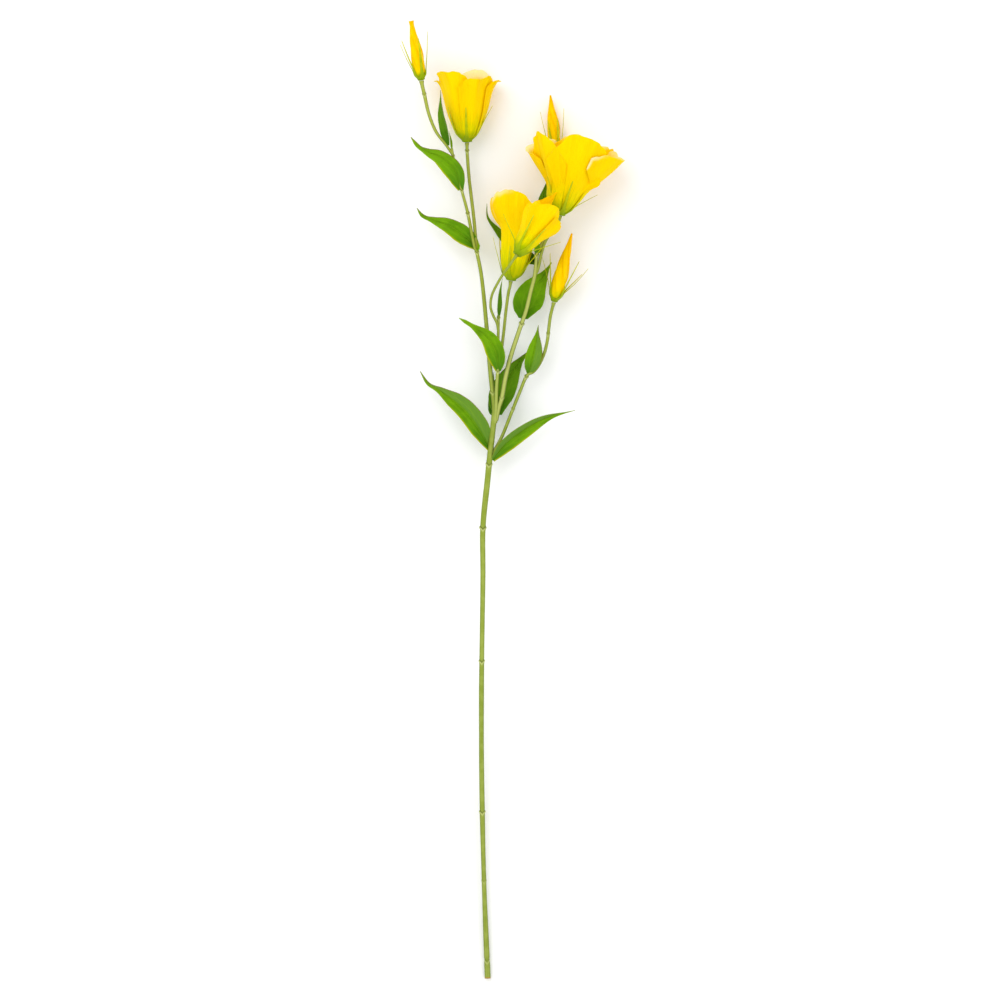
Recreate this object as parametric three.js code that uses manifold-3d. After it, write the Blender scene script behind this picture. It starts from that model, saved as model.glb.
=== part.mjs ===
import * as THREE from 'three';
import Module from 'manifold-3d';
import { mergeVertices } from 'three/addons/utils/BufferGeometryUtils.js';
import { LoftGeometry } from 'three/addons/geometries/LoftGeometry.js';

// A cut spray of yellow lisianthus, lying on a table: one leafy stem with four open
// blooms and three buds. Sizes are in millimetres. Seen from above, X runs to the right
// and Y along the stem towards the flowers, and Z is the height over the table.

const wasm = await Module();
wasm.setup();

// Driving dimensions

const TOUCH_GAP = 0.3;
const THICK_STEM_SIDES = 8;
const THIN_STEM_SIDES = 6;
const THIN_STEM_RADIUS = 1.7;
const STEM_STEP = 14;
const STEM_SEAT = 5;
const JOINT_LENGTH = 2.4;
const LEAF_THICKNESS = 0.8;
const LEAF_ROWS = 8;
const BRACT_ROWS = 4;
const BRACT_HALF_WIDTH = 4;
const WIDE_LEAF_HALF_WIDTH = 7;
const PETAL_THICKNESS = 0.8;
const STAMEN_COUNT = 5;
const PETAL_HALF_ANGLE = 50;
const PETAL_OVERLAP = 1.2;
const PETAL_ROUNDING = 0.2;
const PETAL_SHOULDER = 2.6;
const PETAL_ROOT = 0.12;
const PETAL_BULGE = 0.3;
const PETAL_ROWS = 5;
const PETAL_COLUMNS = 6;
const RIM_WAVE = 1.3;
const RIM_WAVES = 6;
const CORE_FOOT = 1.6;
const CORE_FOOT_RADIUS = 3;
const CORE_SHOULDER = 4.5;
const CORE_TOP = 7;
const CORE_MARGIN = 1.8;
const CUP_FLOOR = 1.2;
const CUP_WALL = 1;
const CUP_TOP = 5.5;
const SEPAL_WIDTH = 2.6;
const SEPAL_THICKNESS = 1;
const SEPAL_TAPER = 0.72;
const SEPAL_THINNING = 0.3;
const SEPAL_STEPS = 3;
const STIGMA_LOBE = [ 1.7, 2.2, 1.3 ];
const STIGMA_SPREAD = 1.2;
const STIGMA_HEIGHT = 17.5;
const TURN_SIDES = 10;
const FACET_ROOM = 0.45;
const BUD_FOOT_RADIUS = 2;
const BUD_RIDGES = 5;
const BUD_FURROW = 0.84;
const BUD_WINDING = 22;
const SMALLEST_DETAIL = 0.05;

const FINISHES = {
	stem: { color: 0x96af3c, roughness: 0.55 },
	leaf: { color: 0x5f9c14, roughness: 0.6 },
	petal: { color: 0xffde05, roughness: 0.65 },
	bud: { color: 0xffcd0a, roughness: 0.65 },
	sepal: { color: 0xa9b92c, roughness: 0.6 },
	pistil: { color: 0xa6b63a, roughness: 0.6 },
	stamen: { color: 0xf2b21c, roughness: 0.7 }
};

// Outlines of the pistil and of the collar that the stamens grow from, as height and radius,
// and the height, distance from the axis and half sizes of a stamen from foot to anther

const PISTIL_OUTLINE = [ [ 0, 0 ], [ 0, 1.8 ], [ 3, 2.5 ], [ 7, 2.2 ], [ 10, 1 ], [ 16, 0.9 ], [ 17, 0 ] ];
const COLLAR_OUTLINE = [ [ 0, 3.1 ], [ 0, 4.6 ], [ 1.2, 4.6 ], [ 1.2, 3.1 ], [ 0, 3.1 ] ];
const STAMEN_STATIONS = [ [ 0.4, 3.9, 0.6, 0.6 ], [ 12, 5.2, 0.5, 0.5 ], [ 12.8, 5.3, 1.2, 1 ],
	[ 16.6, 5.8, 0.8, 0.7 ] ];

// How wide a leaf is at even steps from its foot to its tip, as parts of its half width.
// A drip tip stays narrow for the last fifth of the leaf.

const PLAIN_OUTLINE = [ 0.3, 0.72, 0.94, 1, 0.93, 0.76, 0.52, 0.27, 0.1, 0.02 ];
const DRIP_OUTLINE = [ 0.3, 0.74, 0.97, 1, 0.86, 0.66, 0.42, 0.22, 0.2, 0.02 ];

// Flowers: where the stem ends, how far the axis leans to the right of Y and rises from the
// table, how deep the corolla is for its width, how far it bows sideways half way up, and
// its profile as height and radius from foot to rim. Each petal has the angle of its middle,
// and at five places across it, from its right edge seen from outside, a lift, which lengthens
// it, and a flare, which opens it. Sepals are given by turn, length, splay and bend.

const BLOOMS = {
	left: {
		base: [ - 38.3, 307.7, 18.4 ], lean: - 0.5, rise: 5, depth: 0.86, bow: 0.3,
		profile: [ [ 1.7, 3.4 ], [ 6, 8.2 ], [ 10, 10.4 ], [ 18, 13.6 ], [ 27, 16.4 ], [ 36, 18.4 ],
			[ 44, 20.6 ], [ 49.5, 23.4 ], [ 53.5, 26 ] ],
		petals: [
			{ turn: 60, lift: [ 1, 1.1, 1.04, 1.05, 1.04 ], flare: [ - 0.4, 0, 0, 0, 0 ] },
			{ turn: 132, lift: [ 1.12, 1.16, 1.16, 1.15, 1.08 ], flare: [ 0, 0, 0, 0.3, 0.8 ] },
			{ turn: 204, lift: [ 1.02, 1.04, 1, 1.02, 1.05 ], flare: [ 0, 0.3, 0.2, 0, 0 ] },
			{ turn: 276, lift: [ 0.98, 1.04, 1.14, 1.17, 1.1 ], flare: [ 0, 0.4, 0.8, 0.4, 0 ] },
			{ turn: 348, lift: [ 1.1, 1, 1.02, 1.02, 1.05 ], flare: [ 0, 1, 3, 0.4, 0 ] }
		],
		sepals: [ [ 20, 30, 28, 4 ], [ 92, 26, 8, 0 ], [ 164, 28, 8, 0 ], [ 236, 26, 8, 0 ],
			[ 308, 26, 8, 0 ] ]
	},
	middle: {
		base: [ - 0.6, 188.4, 24 ], lean: 8.5, rise: 3, depth: 0.78, bow: 1.4,
		profile: [ [ 1.7, 3.4 ], [ 6, 8 ], [ 14, 11.2 ], [ 25, 13.2 ], [ 40, 15 ], [ 46, 17 ],
			[ 51, 21 ], [ 58, 25 ], [ 66, 26.8 ], [ 72, 26.4 ] ],
		petals: [
			{ turn: 108, lift: [ 0.96, 1.04, 1.08, 1.08, 1.02 ], flare: [ 0, 0, 0, 1.4, 2.6 ] },
			{ turn: 180, lift: [ 1.02, 0.98, 0.94, 0.96, 0.98 ], flare: [ 1.8, 0.8, 0, 0, 0 ] },
			{ turn: 252, lift: [ 1.02, 1.06, 1.04, 0.98, 0.94 ], flare: [ 1, 0.4, 0, 0, 0 ] },
			{ turn: 324, lift: [ 0.96, 0.97, 0.95, 0.92, 0.9 ], flare: [ - 1, - 3, - 4, - 5, - 6 ] },
			{ turn: 36, lift: [ 0.9, 0.92, 0.94, 0.98, 0.98 ], flare: [ - 6, - 5, - 3, - 1.5, 0 ] }
		],
		sepals: [ [ 180, 32, 24, - 2 ], [ 208, 30, 16, - 2 ], [ 28, 31, 34, 0 ], [ 108, 26, 16, 0 ],
			[ 262, 22, 12, 0 ] ]
	},
	front: {
		base: [ 4.5, 209.5, 75 ], lean: 35.5, rise: - 17, depth: 0.72, bow: 0,
		profile: [ [ 1.7, 3.2 ], [ 6, 6 ], [ 10, 7.7 ], [ 18, 9.5 ], [ 26, 11 ], [ 34, 13.8 ],
			[ 42, 16.2 ], [ 48, 16.6 ], [ 52, 15.2 ] ],
		petals: [
			{ turn: 84, lift: [ 0.94, 1, 1, 0.97, 0.92 ], flare: [ 0.4, 0.4, 0, 0, 0 ] },
			{ turn: 158, lift: [ 0.94, 0.94, 0.9, 0.88, 0.88 ], flare: [ 0, 0, 0, 0, 0 ] },
			{ turn: 240, lift: [ 0.92, 0.98, 1.32, 1.12, 0.92 ], flare: [ - 1, - 3, - 8, - 5, - 2 ] },
			{ turn: 306, lift: [ 0.94, 0.92, 0.88, 0.84, 0.8 ], flare: [ - 2, - 3, - 4, - 5, - 4.4 ] },
			{ turn: 14, lift: [ 0.78, 0.78, 0.82, 0.88, 0.94 ], flare: [ - 2, - 1, 0, 0.2, 0 ] }
		],
		sepals: [ [ 180, 30, 58, 0 ], [ 118, 30, 20, 0 ], [ 4, 32, 36, 0 ], [ 60, 26, 16, 0 ],
			[ 270, 26, 14, 0 ] ]
	},
	right: {
		base: [ 41.7, 244.3, 36 ], lean: 13, rise: 4, depth: 0.6, bow: 0.8,
		profile: [ [ 1.7, 3.4 ], [ 6, 8 ], [ 14, 12.6 ], [ 24, 17.4 ], [ 33, 24 ], [ 42, 31 ],
			[ 50, 36.6 ], [ 56, 40 ] ],
		petals: [
			{ turn: 78, lift: [ 1.1, 1.2, 1.27, 1.26, 0.92 ], flare: [ 1, 0, 0, 0, 0 ] },
			{ turn: 148, lift: [ 0.92, 1.12, 1.19, 1.08, 0.84 ], flare: [ 0, 0, 0.4, - 3.2, - 4.5 ] },
			{ turn: 208, lift: [ 0.9, 0.87, 0.98, 1.14, 1.12 ], flare: [ - 4, 0, 1.5, 0.5, 0 ] },
			{ turn: 282, lift: [ 1.16, 1.22, 1.16, 1.2, 1.34 ], flare: [ 0, 0, 0, 0, 0 ] },
			{ turn: 17, lift: [ 1.34, 1.1, 1.05, 1.1, 1.16 ], flare: [ 0.6, 1.6, 2.4, 1.8, 0.6 ] }
		],
		sepals: [ [ 80, 28, 16, 0 ], [ 2, 27, 46, 4 ], [ 142, 28, 26, 0 ], [ 214, 26, 22, 0 ],
			[ 286, 26, 18, 0 ] ]
	}
};

const BUDS = {
	left: {
		base: [ - 77.4, 360.1, 37 ], lean: - 9.9, rise: 0,
		profile: [ [ 1.7, BUD_FOOT_RADIUS ], [ 5, 4.4 ], [ 10, 5.2 ], [ 20, 5.6 ], [ 31, 4.6 ],
			[ 42, 2.9 ], [ 48, 2 ], [ 52, 2.4 ] ],
		sepals: [ [ 180, 29, 22, - 10 ], [ 148, 32, 18, - 6 ], [ 10, 36, 16, - 6 ], [ 70, 31, 14, - 6 ],
			[ 280, 33, 18, - 6 ] ]
	},
	right: {
		base: [ 38.3, 296.5, 6.2 ], lean: - 5.3, rise: 0,
		profile: [ [ 1.7, BUD_FOOT_RADIUS ], [ 5, 4.4 ], [ 12, 5.2 ], [ 22, 5.6 ], [ 30, 5 ], [ 40, 3 ],
			[ 47, 1.6 ], [ 52.4, 0.7 ] ],
		sepals: [ [ 180, 34, 12, - 6 ], [ 0, 35, 14, - 8 ], [ 60, 26, 10, - 4 ], [ 120, 26, 10, - 4 ] ]
	},
	side: {
		base: [ 36.5, 170.1, 24 ], lean: 14.7, rise: 0,
		profile: [ [ 1.7, BUD_FOOT_RADIUS ], [ 6, 5 ], [ 14, 6.2 ], [ 24, 6.4 ], [ 34, 5.2 ],
			[ 45, 3.4 ], [ 54, 1.8 ], [ 61, 0.7 ] ],
		sepals: [ [ 184, 40, 22, 12 ], [ 150, 36, 18, 0 ], [ 30, 35, 15, 0 ], [ 350, 34, 42, - 20 ],
			[ 326, 29, 38, - 4 ] ]
	}
};

// Stems: each route starts inside the stem that it grew from, and a stem that carries a
// flower runs on to its foot. Joints are swellings, given by how far along the stem they
// lie and how much wider it is there.

const STEMS = {
	main: {
		route: [ [ - 20.5, - 412.6, 2.6 ], [ - 23.7, - 328, 6.2 ], [ - 25.6, - 240, 10.3 ],
			[ - 25.8, - 160, 13.8 ], [ - 24.6, - 68.6, 17.7 ], [ - 24.6, - 24.3, 19.6 ],
			[ - 20.6, 17, 21.4 ], [ - 18.7, 36.2, 22.2 ], [ - 14.2, 77.2, 24 ] ],
		radii: [ 2.6, 2.5 ],
		joints: [ [ 0.032, - 0.3 ], [ 0.173, 0.2 ], [ 0.294, 0.5 ], [ 0.559, 0.5 ], [ 0.793, 0.8 ],
			[ 0.905, 0.4 ] ]
	},
	left: {
		route: [ [ - 14.8, 68, 24 ], [ - 15.1, 82.9, 24.6 ], [ - 17.8, 106.2, 25 ],
			[ - 21.1, 145.1, 25.2 ], [ - 25.4, 189, 25.6 ], [ - 30.1, 214.8, 26 ] ],
		radii: [ 2.1, 1.5 ],
		joints: [ [ 0.17, 0.3 ], [ 0.99, 0.5 ] ]
	},
	leftBloom: {
		route: [ [ - 30, 213.8, 26 ], [ - 32.4, 242, 22.6 ], [ - 36.3, 275, 18.8 ],
			[ - 37.9, 295, 17.5 ] ],
		carries: BLOOMS.left,
		radii: [ 1.4, 1.4 ],
		joints: [ [ 0.93, 0.5 ] ]
	},
	leftTop: {
		route: [ [ - 30.1, 214, 26.2 ], [ - 32.4, 220.1, 27 ], [ - 37.9, 247.6, 29 ],
			[ - 43.4, 268.1, 30.5 ], [ - 49.5, 292.2, 32.5 ], [ - 51.4, 302, 33.3 ] ],
		radii: [ 1.4, 1.1 ],
		joints: [ [ 0.37, 0.5 ], [ 0.6, 0.5 ], [ 0.93, 0.4 ] ]
	},
	leftBud: {
		route: [ [ - 50.2, 296, 32.8 ], [ - 56.4, 305.1, 34 ], [ - 64.9, 316.3, 35.5 ],
			[ - 71, 331.4, 36.5 ], [ - 74.8, 347.8, 37 ] ],
		carries: BUDS.left,
		radii: [ 1.1, 1.6 ],
		joints: [ [ 0.84, 0.3 ] ]
	},
	middle: {
		route: [ [ - 14.2, 66, 24 ], [ - 13.3, 80.2, 26.3 ], [ - 12.8, 96.6, 28.2 ],
			[ - 11.6, 112.4, 29.5 ] ],
		radii: [ 1.9, 1.5 ],
		joints: [ [ 0.97, 0.5 ] ]
	},
	middleTop: {
		route: [ [ - 11.6, 111, 29.4 ], [ - 11.6, 125, 30.3 ], [ - 11.4, 142.5, 31.2 ],
			[ - 11.1, 158.6, 32 ] ],
		radii: [ 1.2, 1.2 ],
		joints: [ [ 0.96, 0.4 ] ]
	},
	middleBloom: {
		route: [ [ - 11.4, 111, 29.2 ], [ - 7.3, 139.1, 27.2 ], [ - 4.7, 163, 24.6 ],
			[ - 2.6, 178, 23.4 ] ],
		carries: BLOOMS.middle,
		radii: [ 1.3, 1.3 ],
		joints: []
	},
	frontBloom: {
		route: [ [ - 11.5, 146, 31.4 ], [ - 12.6, 152, 33.5 ], [ - 15.9, 158.6, 38.5 ],
			[ - 18, 166, 45.5 ], [ - 16.9, 175.1, 55 ], [ - 12.6, 184.2, 65 ], [ - 7.1, 193.3, 73 ],
			[ - 2.4, 199.6, 76.6 ] ],
		carries: BLOOMS.front,
		radii: [ 1.1, 1.1 ],
		joints: []
	},
	right: {
		route: [ [ - 13.6, 68, 23.6 ], [ - 11.2, 79, 25 ], [ - 8.4, 87.8, 26 ], [ - 5.2, 104.9, 27.6 ],
			[ - 0.8, 122.9, 28.8 ], [ 5.8, 143.2, 29.8 ], [ 8.5, 151, 30.2 ], [ 12.7, 163, 30.6 ],
			[ 16.3, 178.1, 31 ], [ 20, 193.3, 31.2 ], [ 21.9, 213.1, 31 ] ],
		radii: [ 2.1, 1.6 ],
		joints: [ [ 0.14, 0.2 ], [ 0.58, 0.7 ], [ 0.985, 0.5 ] ]
	},
	rightBloom: {
		route: [ [ 19.5, 190.5, 31.2 ], [ 23, 199.3, 31.8 ], [ 25.6, 211.3, 32.6 ],
			[ 29.4, 222.7, 33.6 ], [ 35.5, 231, 34.8 ] ],
		carries: BLOOMS.right,
		radii: [ 1.2, 1.4 ],
		joints: []
	},
	rightBud: {
		route: [ [ 21.6, 210.5, 31 ], [ 25.4, 219, 26.6 ], [ 29.5, 228.5, 20.5 ], [ 32.6, 240, 15 ],
			[ 34, 256, 10.6 ], [ 36.4, 276, 7.6 ], [ 37.8, 286, 6.4 ] ],
		carries: BUDS.right,
		radii: [ 1.2, 1.5 ],
		joints: []
	},
	side: {
		route: [ [ - 18.2, 33, 22 ], [ - 15.6, 40.5, 21.8 ], [ - 8, 54.9, 21.2 ], [ 1.3, 78.2, 21 ],
			[ 6.9, 92.2, 21 ], [ 13, 106.4, 21 ], [ 18.4, 109.9, 21 ], [ 22.3, 114.2, 21 ],
			[ 25.5, 119.7, 21.3 ], [ 28.8, 127.9, 21.8 ], [ 31, 137.7, 22.4 ], [ 31.6, 143.2, 22.8 ],
			[ 33.3, 157, 23.6 ] ],
		carries: BUDS.side,
		radii: [ 1.4, 1.4 ],
		joints: [ [ 0.33, 0.3 ], [ 0.53, 0.6 ], [ 0.82, 0.3 ] ]
	}
};

// Leaves: the rib from foot to tip, the half width of the blade, how far the blade rolls
// about the rib at foot and tip, how deep it folds along the rib, in degrees, and its outline.

const LEAVES = {
	leaf_fork_left: {
		rib: [ [ - 18.6, 43.5, 20.8 ], [ - 26, 57, 24.5 ], [ - 40, 77, 28 ], [ - 60, 95.3, 21.5 ],
			[ - 78.7, 110.7, 12 ] ],
		halfWidth: 10.6, roll: [ 25, 10 ], fold: 26, outline: DRIP_OUTLINE
	},
	leaf_fork_right: {
		rib: [ [ - 16.6, 34.5, 22 ], [ - 5.6, 47.6, 24 ], [ 11.8, 61, 23 ], [ 31.4, 71.2, 17 ],
			[ 54.8, 76.9, 10 ] ],
		halfWidth: 8.2, roll: [ 30, 30 ], fold: 26, outline: PLAIN_OUTLINE
	},
	leaf_middle_front: {
		rib: [ [ - 11.2, 111, 30 ], [ - 12.6, 124, 34 ], [ - 19.2, 138, 35 ], [ - 32, 148.2, 31 ],
			[ - 45.2, 156.3, 25 ] ],
		halfWidth: 8.8, roll: [ - 15, 0 ], fold: 20, outline: DRIP_OUTLINE
	},
	leaf_crotch_right: {
		rib: [ [ - 12, 73, 22.4 ], [ - 10.6, 87, 16.5 ], [ - 3.6, 103, 13.5 ], [ 5.4, 117.5, 11.5 ],
			[ 17.4, 130.5, 10 ] ],
		halfWidth: 10.4, roll: [ 5, 20 ], fold: 18, outline: PLAIN_OUTLINE
	},
	leaf_crotch_left: {
		rib: [ [ - 15, 71.6, 22.6 ], [ - 15.6, 77.4, 13.6 ], [ - 15.6, 91, 8.6 ], [ - 15.4, 110, 7.5 ] ],
		halfWidth: 4.8, roll: [ - 12, - 8 ], fold: 24, outline: PLAIN_OUTLINE
	},
	leaf_side: {
		rib: [ [ 13.8, 106.8, 21 ], [ 17.8, 120, 25.5 ], [ 20.8, 134, 25 ], [ 23.2, 150.4, 20 ] ],
		halfWidth: 8, roll: [ 18, 5 ], fold: 22, outline: PLAIN_OUTLINE
	},
	leaf_right_branch: {
		rib: [ [ 10, 155.4, 29.4 ], [ 13, 167, 22 ], [ 19, 180, 18.5 ], [ 27, 192, 17 ],
			[ 34.6, 204.4, 14 ] ],
		halfWidth: 13.4, roll: [ - 8, 5 ], fold: 13, outline: PLAIN_OUTLINE
	},
	leaf_left_lower: {
		rib: [ [ - 28.8, 216.2, 23 ], [ - 39.6, 226, 25 ], [ - 53.4, 235.8, 28 ],
			[ - 68.4, 241.4, 23 ], [ - 81.5, 251, 16 ] ],
		halfWidth: 8.8, roll: [ 10, - 20 ], fold: 24, outline: DRIP_OUTLINE
	},
	leaf_left_upper: {
		rib: [ [ - 43.2, 266.5, 30.4 ], [ - 48.4, 282.4, 34.5 ], [ - 60.4, 295, 34 ],
			[ - 75.4, 300.8, 28 ], [ - 86.7, 312, 22 ] ],
		halfWidth: 9.4, roll: [ - 22, - 15 ], fold: 24, outline: DRIP_OUTLINE
	},
	leaf_left_narrow: {
		rib: [ [ - 54.2, 304.5, 34.4 ], [ - 55.6, 312.3, 36 ], [ - 57.4, 321.5, 37 ],
			[ - 59.9, 333, 36 ], [ - 61.2, 352, 30 ] ],
		halfWidth: 5.6, roll: [ - 40, - 55 ], fold: 24, outline: PLAIN_OUTLINE
	},
	leaf_middle_narrow: {
		rib: [ [ - 11.2, 157, 32 ], [ - 11.6, 165, 35 ], [ - 10.6, 177, 39 ], [ - 7.4, 190, 43 ] ],
		halfWidth: 4.2, roll: [ 60, 66 ], fold: 24, outline: PLAIN_OUTLINE
	},
	leaf_behind_left: {
		rib: [ [ 20.9, 203, 29.6 ], [ 17.4, 206.4, 14.4 ], [ 8.6, 212.4, 6.4 ], [ - 2, 221, 4.8 ],
			[ - 12, 232, 5.4 ], [ - 20.3, 243, 8.6 ], [ - 21.2, 255, 13 ] ],
		halfWidth: 6, roll: [ 0, 10 ], fold: 16, outline: PLAIN_OUTLINE
	},
	leaf_behind_right: {
		rib: [ [ 31, 234, 17.4 ], [ 28.4, 243, 11.6 ], [ 27.4, 256, 8.4 ], [ 29.4, 268, 8.6 ],
			[ 32.5, 279, 11 ] ],
		halfWidth: 6, roll: [ - 24, - 20 ], fold: 20, outline: PLAIN_OUTLINE
	},
	bract_right_node: {
		rib: [ [ 21.9, 211.5, 31.6 ], [ 22.6, 217, 35.4 ], [ 23.6, 223.5, 37 ] ],
		halfWidth: 3.2, roll: [ 0, 0 ], fold: 24, outline: PLAIN_OUTLINE
	},
	bract_left_node: {
		rib: [ [ - 29.4, 213.6, 27.4 ], [ - 28.4, 218, 28.4 ], [ - 29, 223.5, 28.2 ] ],
		halfWidth: 1.3, roll: [ 10, 10 ], fold: 24, outline: PLAIN_OUTLINE
	},
	bract_left_top: {
		rib: [ [ - 51.2, 301, 33.4 ], [ - 52, 309, 36.2 ], [ - 54, 316.8, 37.8 ] ],
		halfWidth: 1.1, roll: [ - 10, - 10 ], fold: 24, outline: PLAIN_OUTLINE
	}
};

// Curves and solids

const radians = THREE.MathUtils.degToRad;

function smooth( value ) {

	return THREE.MathUtils.smoothstep( value, 0, 1 );

}

function toSolid( geometry ) {

	const bare = new THREE.BufferGeometry();
	bare.setAttribute( 'position', geometry.getAttribute( 'position' ) );
	bare.setIndex( geometry.getIndex() );
	const merged = mergeVertices( bare, 1e-4 );
	const vertProperties = new Float32Array( merged.attributes.position.array );
	const triVerts = new Uint32Array( merged.index.array );
	return new wasm.Manifold( new wasm.Mesh( { numProp: 3, vertProperties, triVerts } ) );

}

function fuse( solids ) {

	return solids.reduce( ( sum, solid ) => sum.add( solid ) );

}

function largestBody( solid ) {

	return solid.decompose().reduce( ( best, body ) => ( body.volume() > best.volume() ? body : best ) );

}

function toGeometry( solid ) {

	const body = largestBody( solid.simplify( SMALLEST_DETAIL ) );
	const { vertProperties, triVerts } = body.getMesh();
	const geometry = new THREE.BufferGeometry();
	geometry.setAttribute( 'position', new THREE.BufferAttribute( new Float32Array( vertProperties ), 3 ) );
	geometry.setIndex( new THREE.BufferAttribute( new Uint32Array( triVerts ), 1 ) );
	geometry.computeVertexNormals();
	return geometry;

}

function piece( name, solid, finish ) {

	const material = new THREE.MeshStandardMaterial( { ...finish, metalness: 0 } );
	const mesh = new THREE.Mesh( toGeometry( solid ), material );
	mesh.name = name;
	return mesh;

}

// A curved sheet of even thickness. Both faces are split into the same triangles.

function sheet( surface, columns, rows, thickness ) {

	const positions = [];
	const faces = [];
	const index = ( side, row, column ) => ( side * ( rows + 1 ) + row ) * ( columns + 1 ) + column;
	for ( const side of [ 0, 1 ] ) {

		for ( let row = 0; row <= rows; row ++ ) {

			for ( let column = 0; column <= columns; column ++ ) {

				const across = 2 * column / columns - 1;
				const along = row / rows;
				const normal = sheetNormal( surface, across, along );
				const offset = ( side === 0 ? 0.5 : - 0.5 ) * thickness;
				positions.push( ...surface( across, along ).addScaledVector( normal, offset ).toArray() );
				if ( row === rows || column === columns ) continue;
				const corners = [ index( side, row, column ), index( side, row, column + 1 ),
					index( side, row + 1, column + 1 ), index( side, row + 1, column ) ];
				const [ a, b, c, d ] = corners;
				faces.push( ...( side === 0 ? [ a, b, c, a, c, d ] : [ a, c, b, a, d, c ] ) );

			}

		}

	}

	const border = sheetBorder( columns, rows );
	border.forEach( ( [ row, column ], i ) => {

		const [ nextRow, nextColumn ] = border[ ( i + 1 ) % border.length ];
		const p = index( 0, row, column ), q = index( 0, nextRow, nextColumn );
		const pBack = index( 1, row, column ), qBack = index( 1, nextRow, nextColumn );
		faces.push( q, p, pBack, q, pBack, qBack );

	} );
	const geometry = new THREE.BufferGeometry();
	geometry.setAttribute( 'position', new THREE.Float32BufferAttribute( positions, 3 ) );
	geometry.setIndex( faces );
	return toSolid( geometry );

}

function sheetNormal( surface, across, along ) {

	const step = 0.01;
	const widthwise = surface( across + step, along ).sub( surface( across - step, along ) );
	const lengthwise = surface( across, along + step ).sub( surface( across, along - step ) );
	return widthwise.cross( lengthwise ).normalize();

}

function sheetBorder( columns, rows ) {

	const border = [];
	for ( let column = 0; column < columns; column ++ ) border.push( [ 0, column ] );
	for ( let row = 0; row < rows; row ++ ) border.push( [ row, columns ] );
	for ( let column = columns; column > 0; column -- ) border.push( [ rows, column ] );
	for ( let row = rows; row > 0; row -- ) border.push( [ row, 0 ] );
	return border;

}

// A ring of points around a centre, flattened to the given half sizes

function ring( center, tangent, facing, halfWidth, halfHeight, sides, turn = 0 ) {

	const width = new THREE.Vector3().crossVectors( tangent, facing ).normalize();
	const height = new THREE.Vector3().crossVectors( tangent, width );
	return Array.from( { length: sides }, ( _, i ) => {

		const angle = turn + 2 * Math.PI * i / sides;
		return center.clone()
			.addScaledVector( width, halfWidth * Math.cos( angle ) )
			.addScaledVector( height, halfHeight * Math.sin( angle ) );

	} );

}

function loft( rings ) {

	return toSolid( new LoftGeometry( rings, { capStart: true, capEnd: true } ) );

}

function turned( outline ) {

	const points = outline.map( ( [ height, radius ] ) => new THREE.Vector2( radius, height ) );
	return toSolid( new THREE.LatheGeometry( points, TURN_SIDES ) );

}

function through( points ) {

	const places = points.map( ( point ) => new THREE.Vector3( ...point ) );
	return new THREE.CatmullRomCurve3( places, false, 'catmullrom' );

}

// Stems

function stemStations( length, joints ) {

	const count = Math.ceil( length / STEM_STEP );
	const even = Array.from( { length: count + 1 }, ( _, i ) => i / count );
	const shoulder = JOINT_LENGTH / length;
	const swollen = joints.flatMap( ( [ at ] ) => [ at - shoulder, at, at + shoulder ] );
	const clear = even.filter( ( at ) => at === 0 || at === 1
		|| swollen.every( ( other ) => Math.abs( at - other ) > shoulder ) );
	const within = swollen.filter( ( at ) => at > shoulder / 2 && at < 1 - shoulder / 2 );
	return [ ...clear, ...within ].sort( ( a, b ) => a - b );

}

function stemRadius( { radii, joints }, at, length ) {

	const plain = THREE.MathUtils.lerp( radii[ 0 ], radii[ 1 ], at );
	const swelling = joints.reduce( ( sum, [ place, extra ] ) => {

		const distance = ( at - place ) * length / JOINT_LENGTH;
		return sum + extra * Math.exp( - 3 * distance * distance );

	}, 0 );
	return plain + swelling;

}

// How a flower stands: its foot at the base, its axis leaning to the right of Y and rising

function flowerFrame( { base, lean, rise } ) {

	const frame = new THREE.Group();
	frame.position.set( ...base );
	frame.rotation.set( radians( rise ), 0, radians( - lean ), 'ZXY' );
	return frame;

}

function stemCurve( { route, carries } ) {

	if ( ! carries ) return through( route );
	const frame = flowerFrame( carries );
	frame.updateMatrix();
	const seat = [ STEM_SEAT, TOUCH_GAP ].map( ( below ) => (
		new THREE.Vector3( 0, - below, 0 ).applyMatrix4( frame.matrix ).toArray() ) );
	return through( [ ...route, ...seat ] );

}

function stemSolid( stem, extra ) {

	const curve = stemCurve( stem );
	const length = curve.getLength();
	const up = new THREE.Vector3( 0, 0, 1 );
	const sides = stem.radii[ 0 ] > THIN_STEM_RADIUS ? THICK_STEM_SIDES : THIN_STEM_SIDES;
	const rings = stemStations( length, stem.joints ).map( ( at ) => {

		const radius = stemRadius( stem, at, length ) + extra;
		const tangent = curve.getTangentAt( at );
		const beyond = extra * ( Number( at === 1 ) - Number( at === 0 ) );
		const center = curve.getPointAt( at ).addScaledVector( tangent, beyond );
		return ring( center, tangent, up, radius, radius, sides );

	} );
	return loft( rings );

}

function allStems( extra ) {

	return fuse( Object.values( STEMS ).map( ( stem ) => stemSolid( stem, extra ) ) );

}

// Leaves

function outlineAt( outline, at ) {

	const place = THREE.MathUtils.clamp( at, 0, 1 ) * ( outline.length - 1 );
	const before = Math.min( Math.floor( place ), outline.length - 2 );
	return THREE.MathUtils.lerp( outline[ before ], outline[ before + 1 ], place - before );

}

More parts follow.
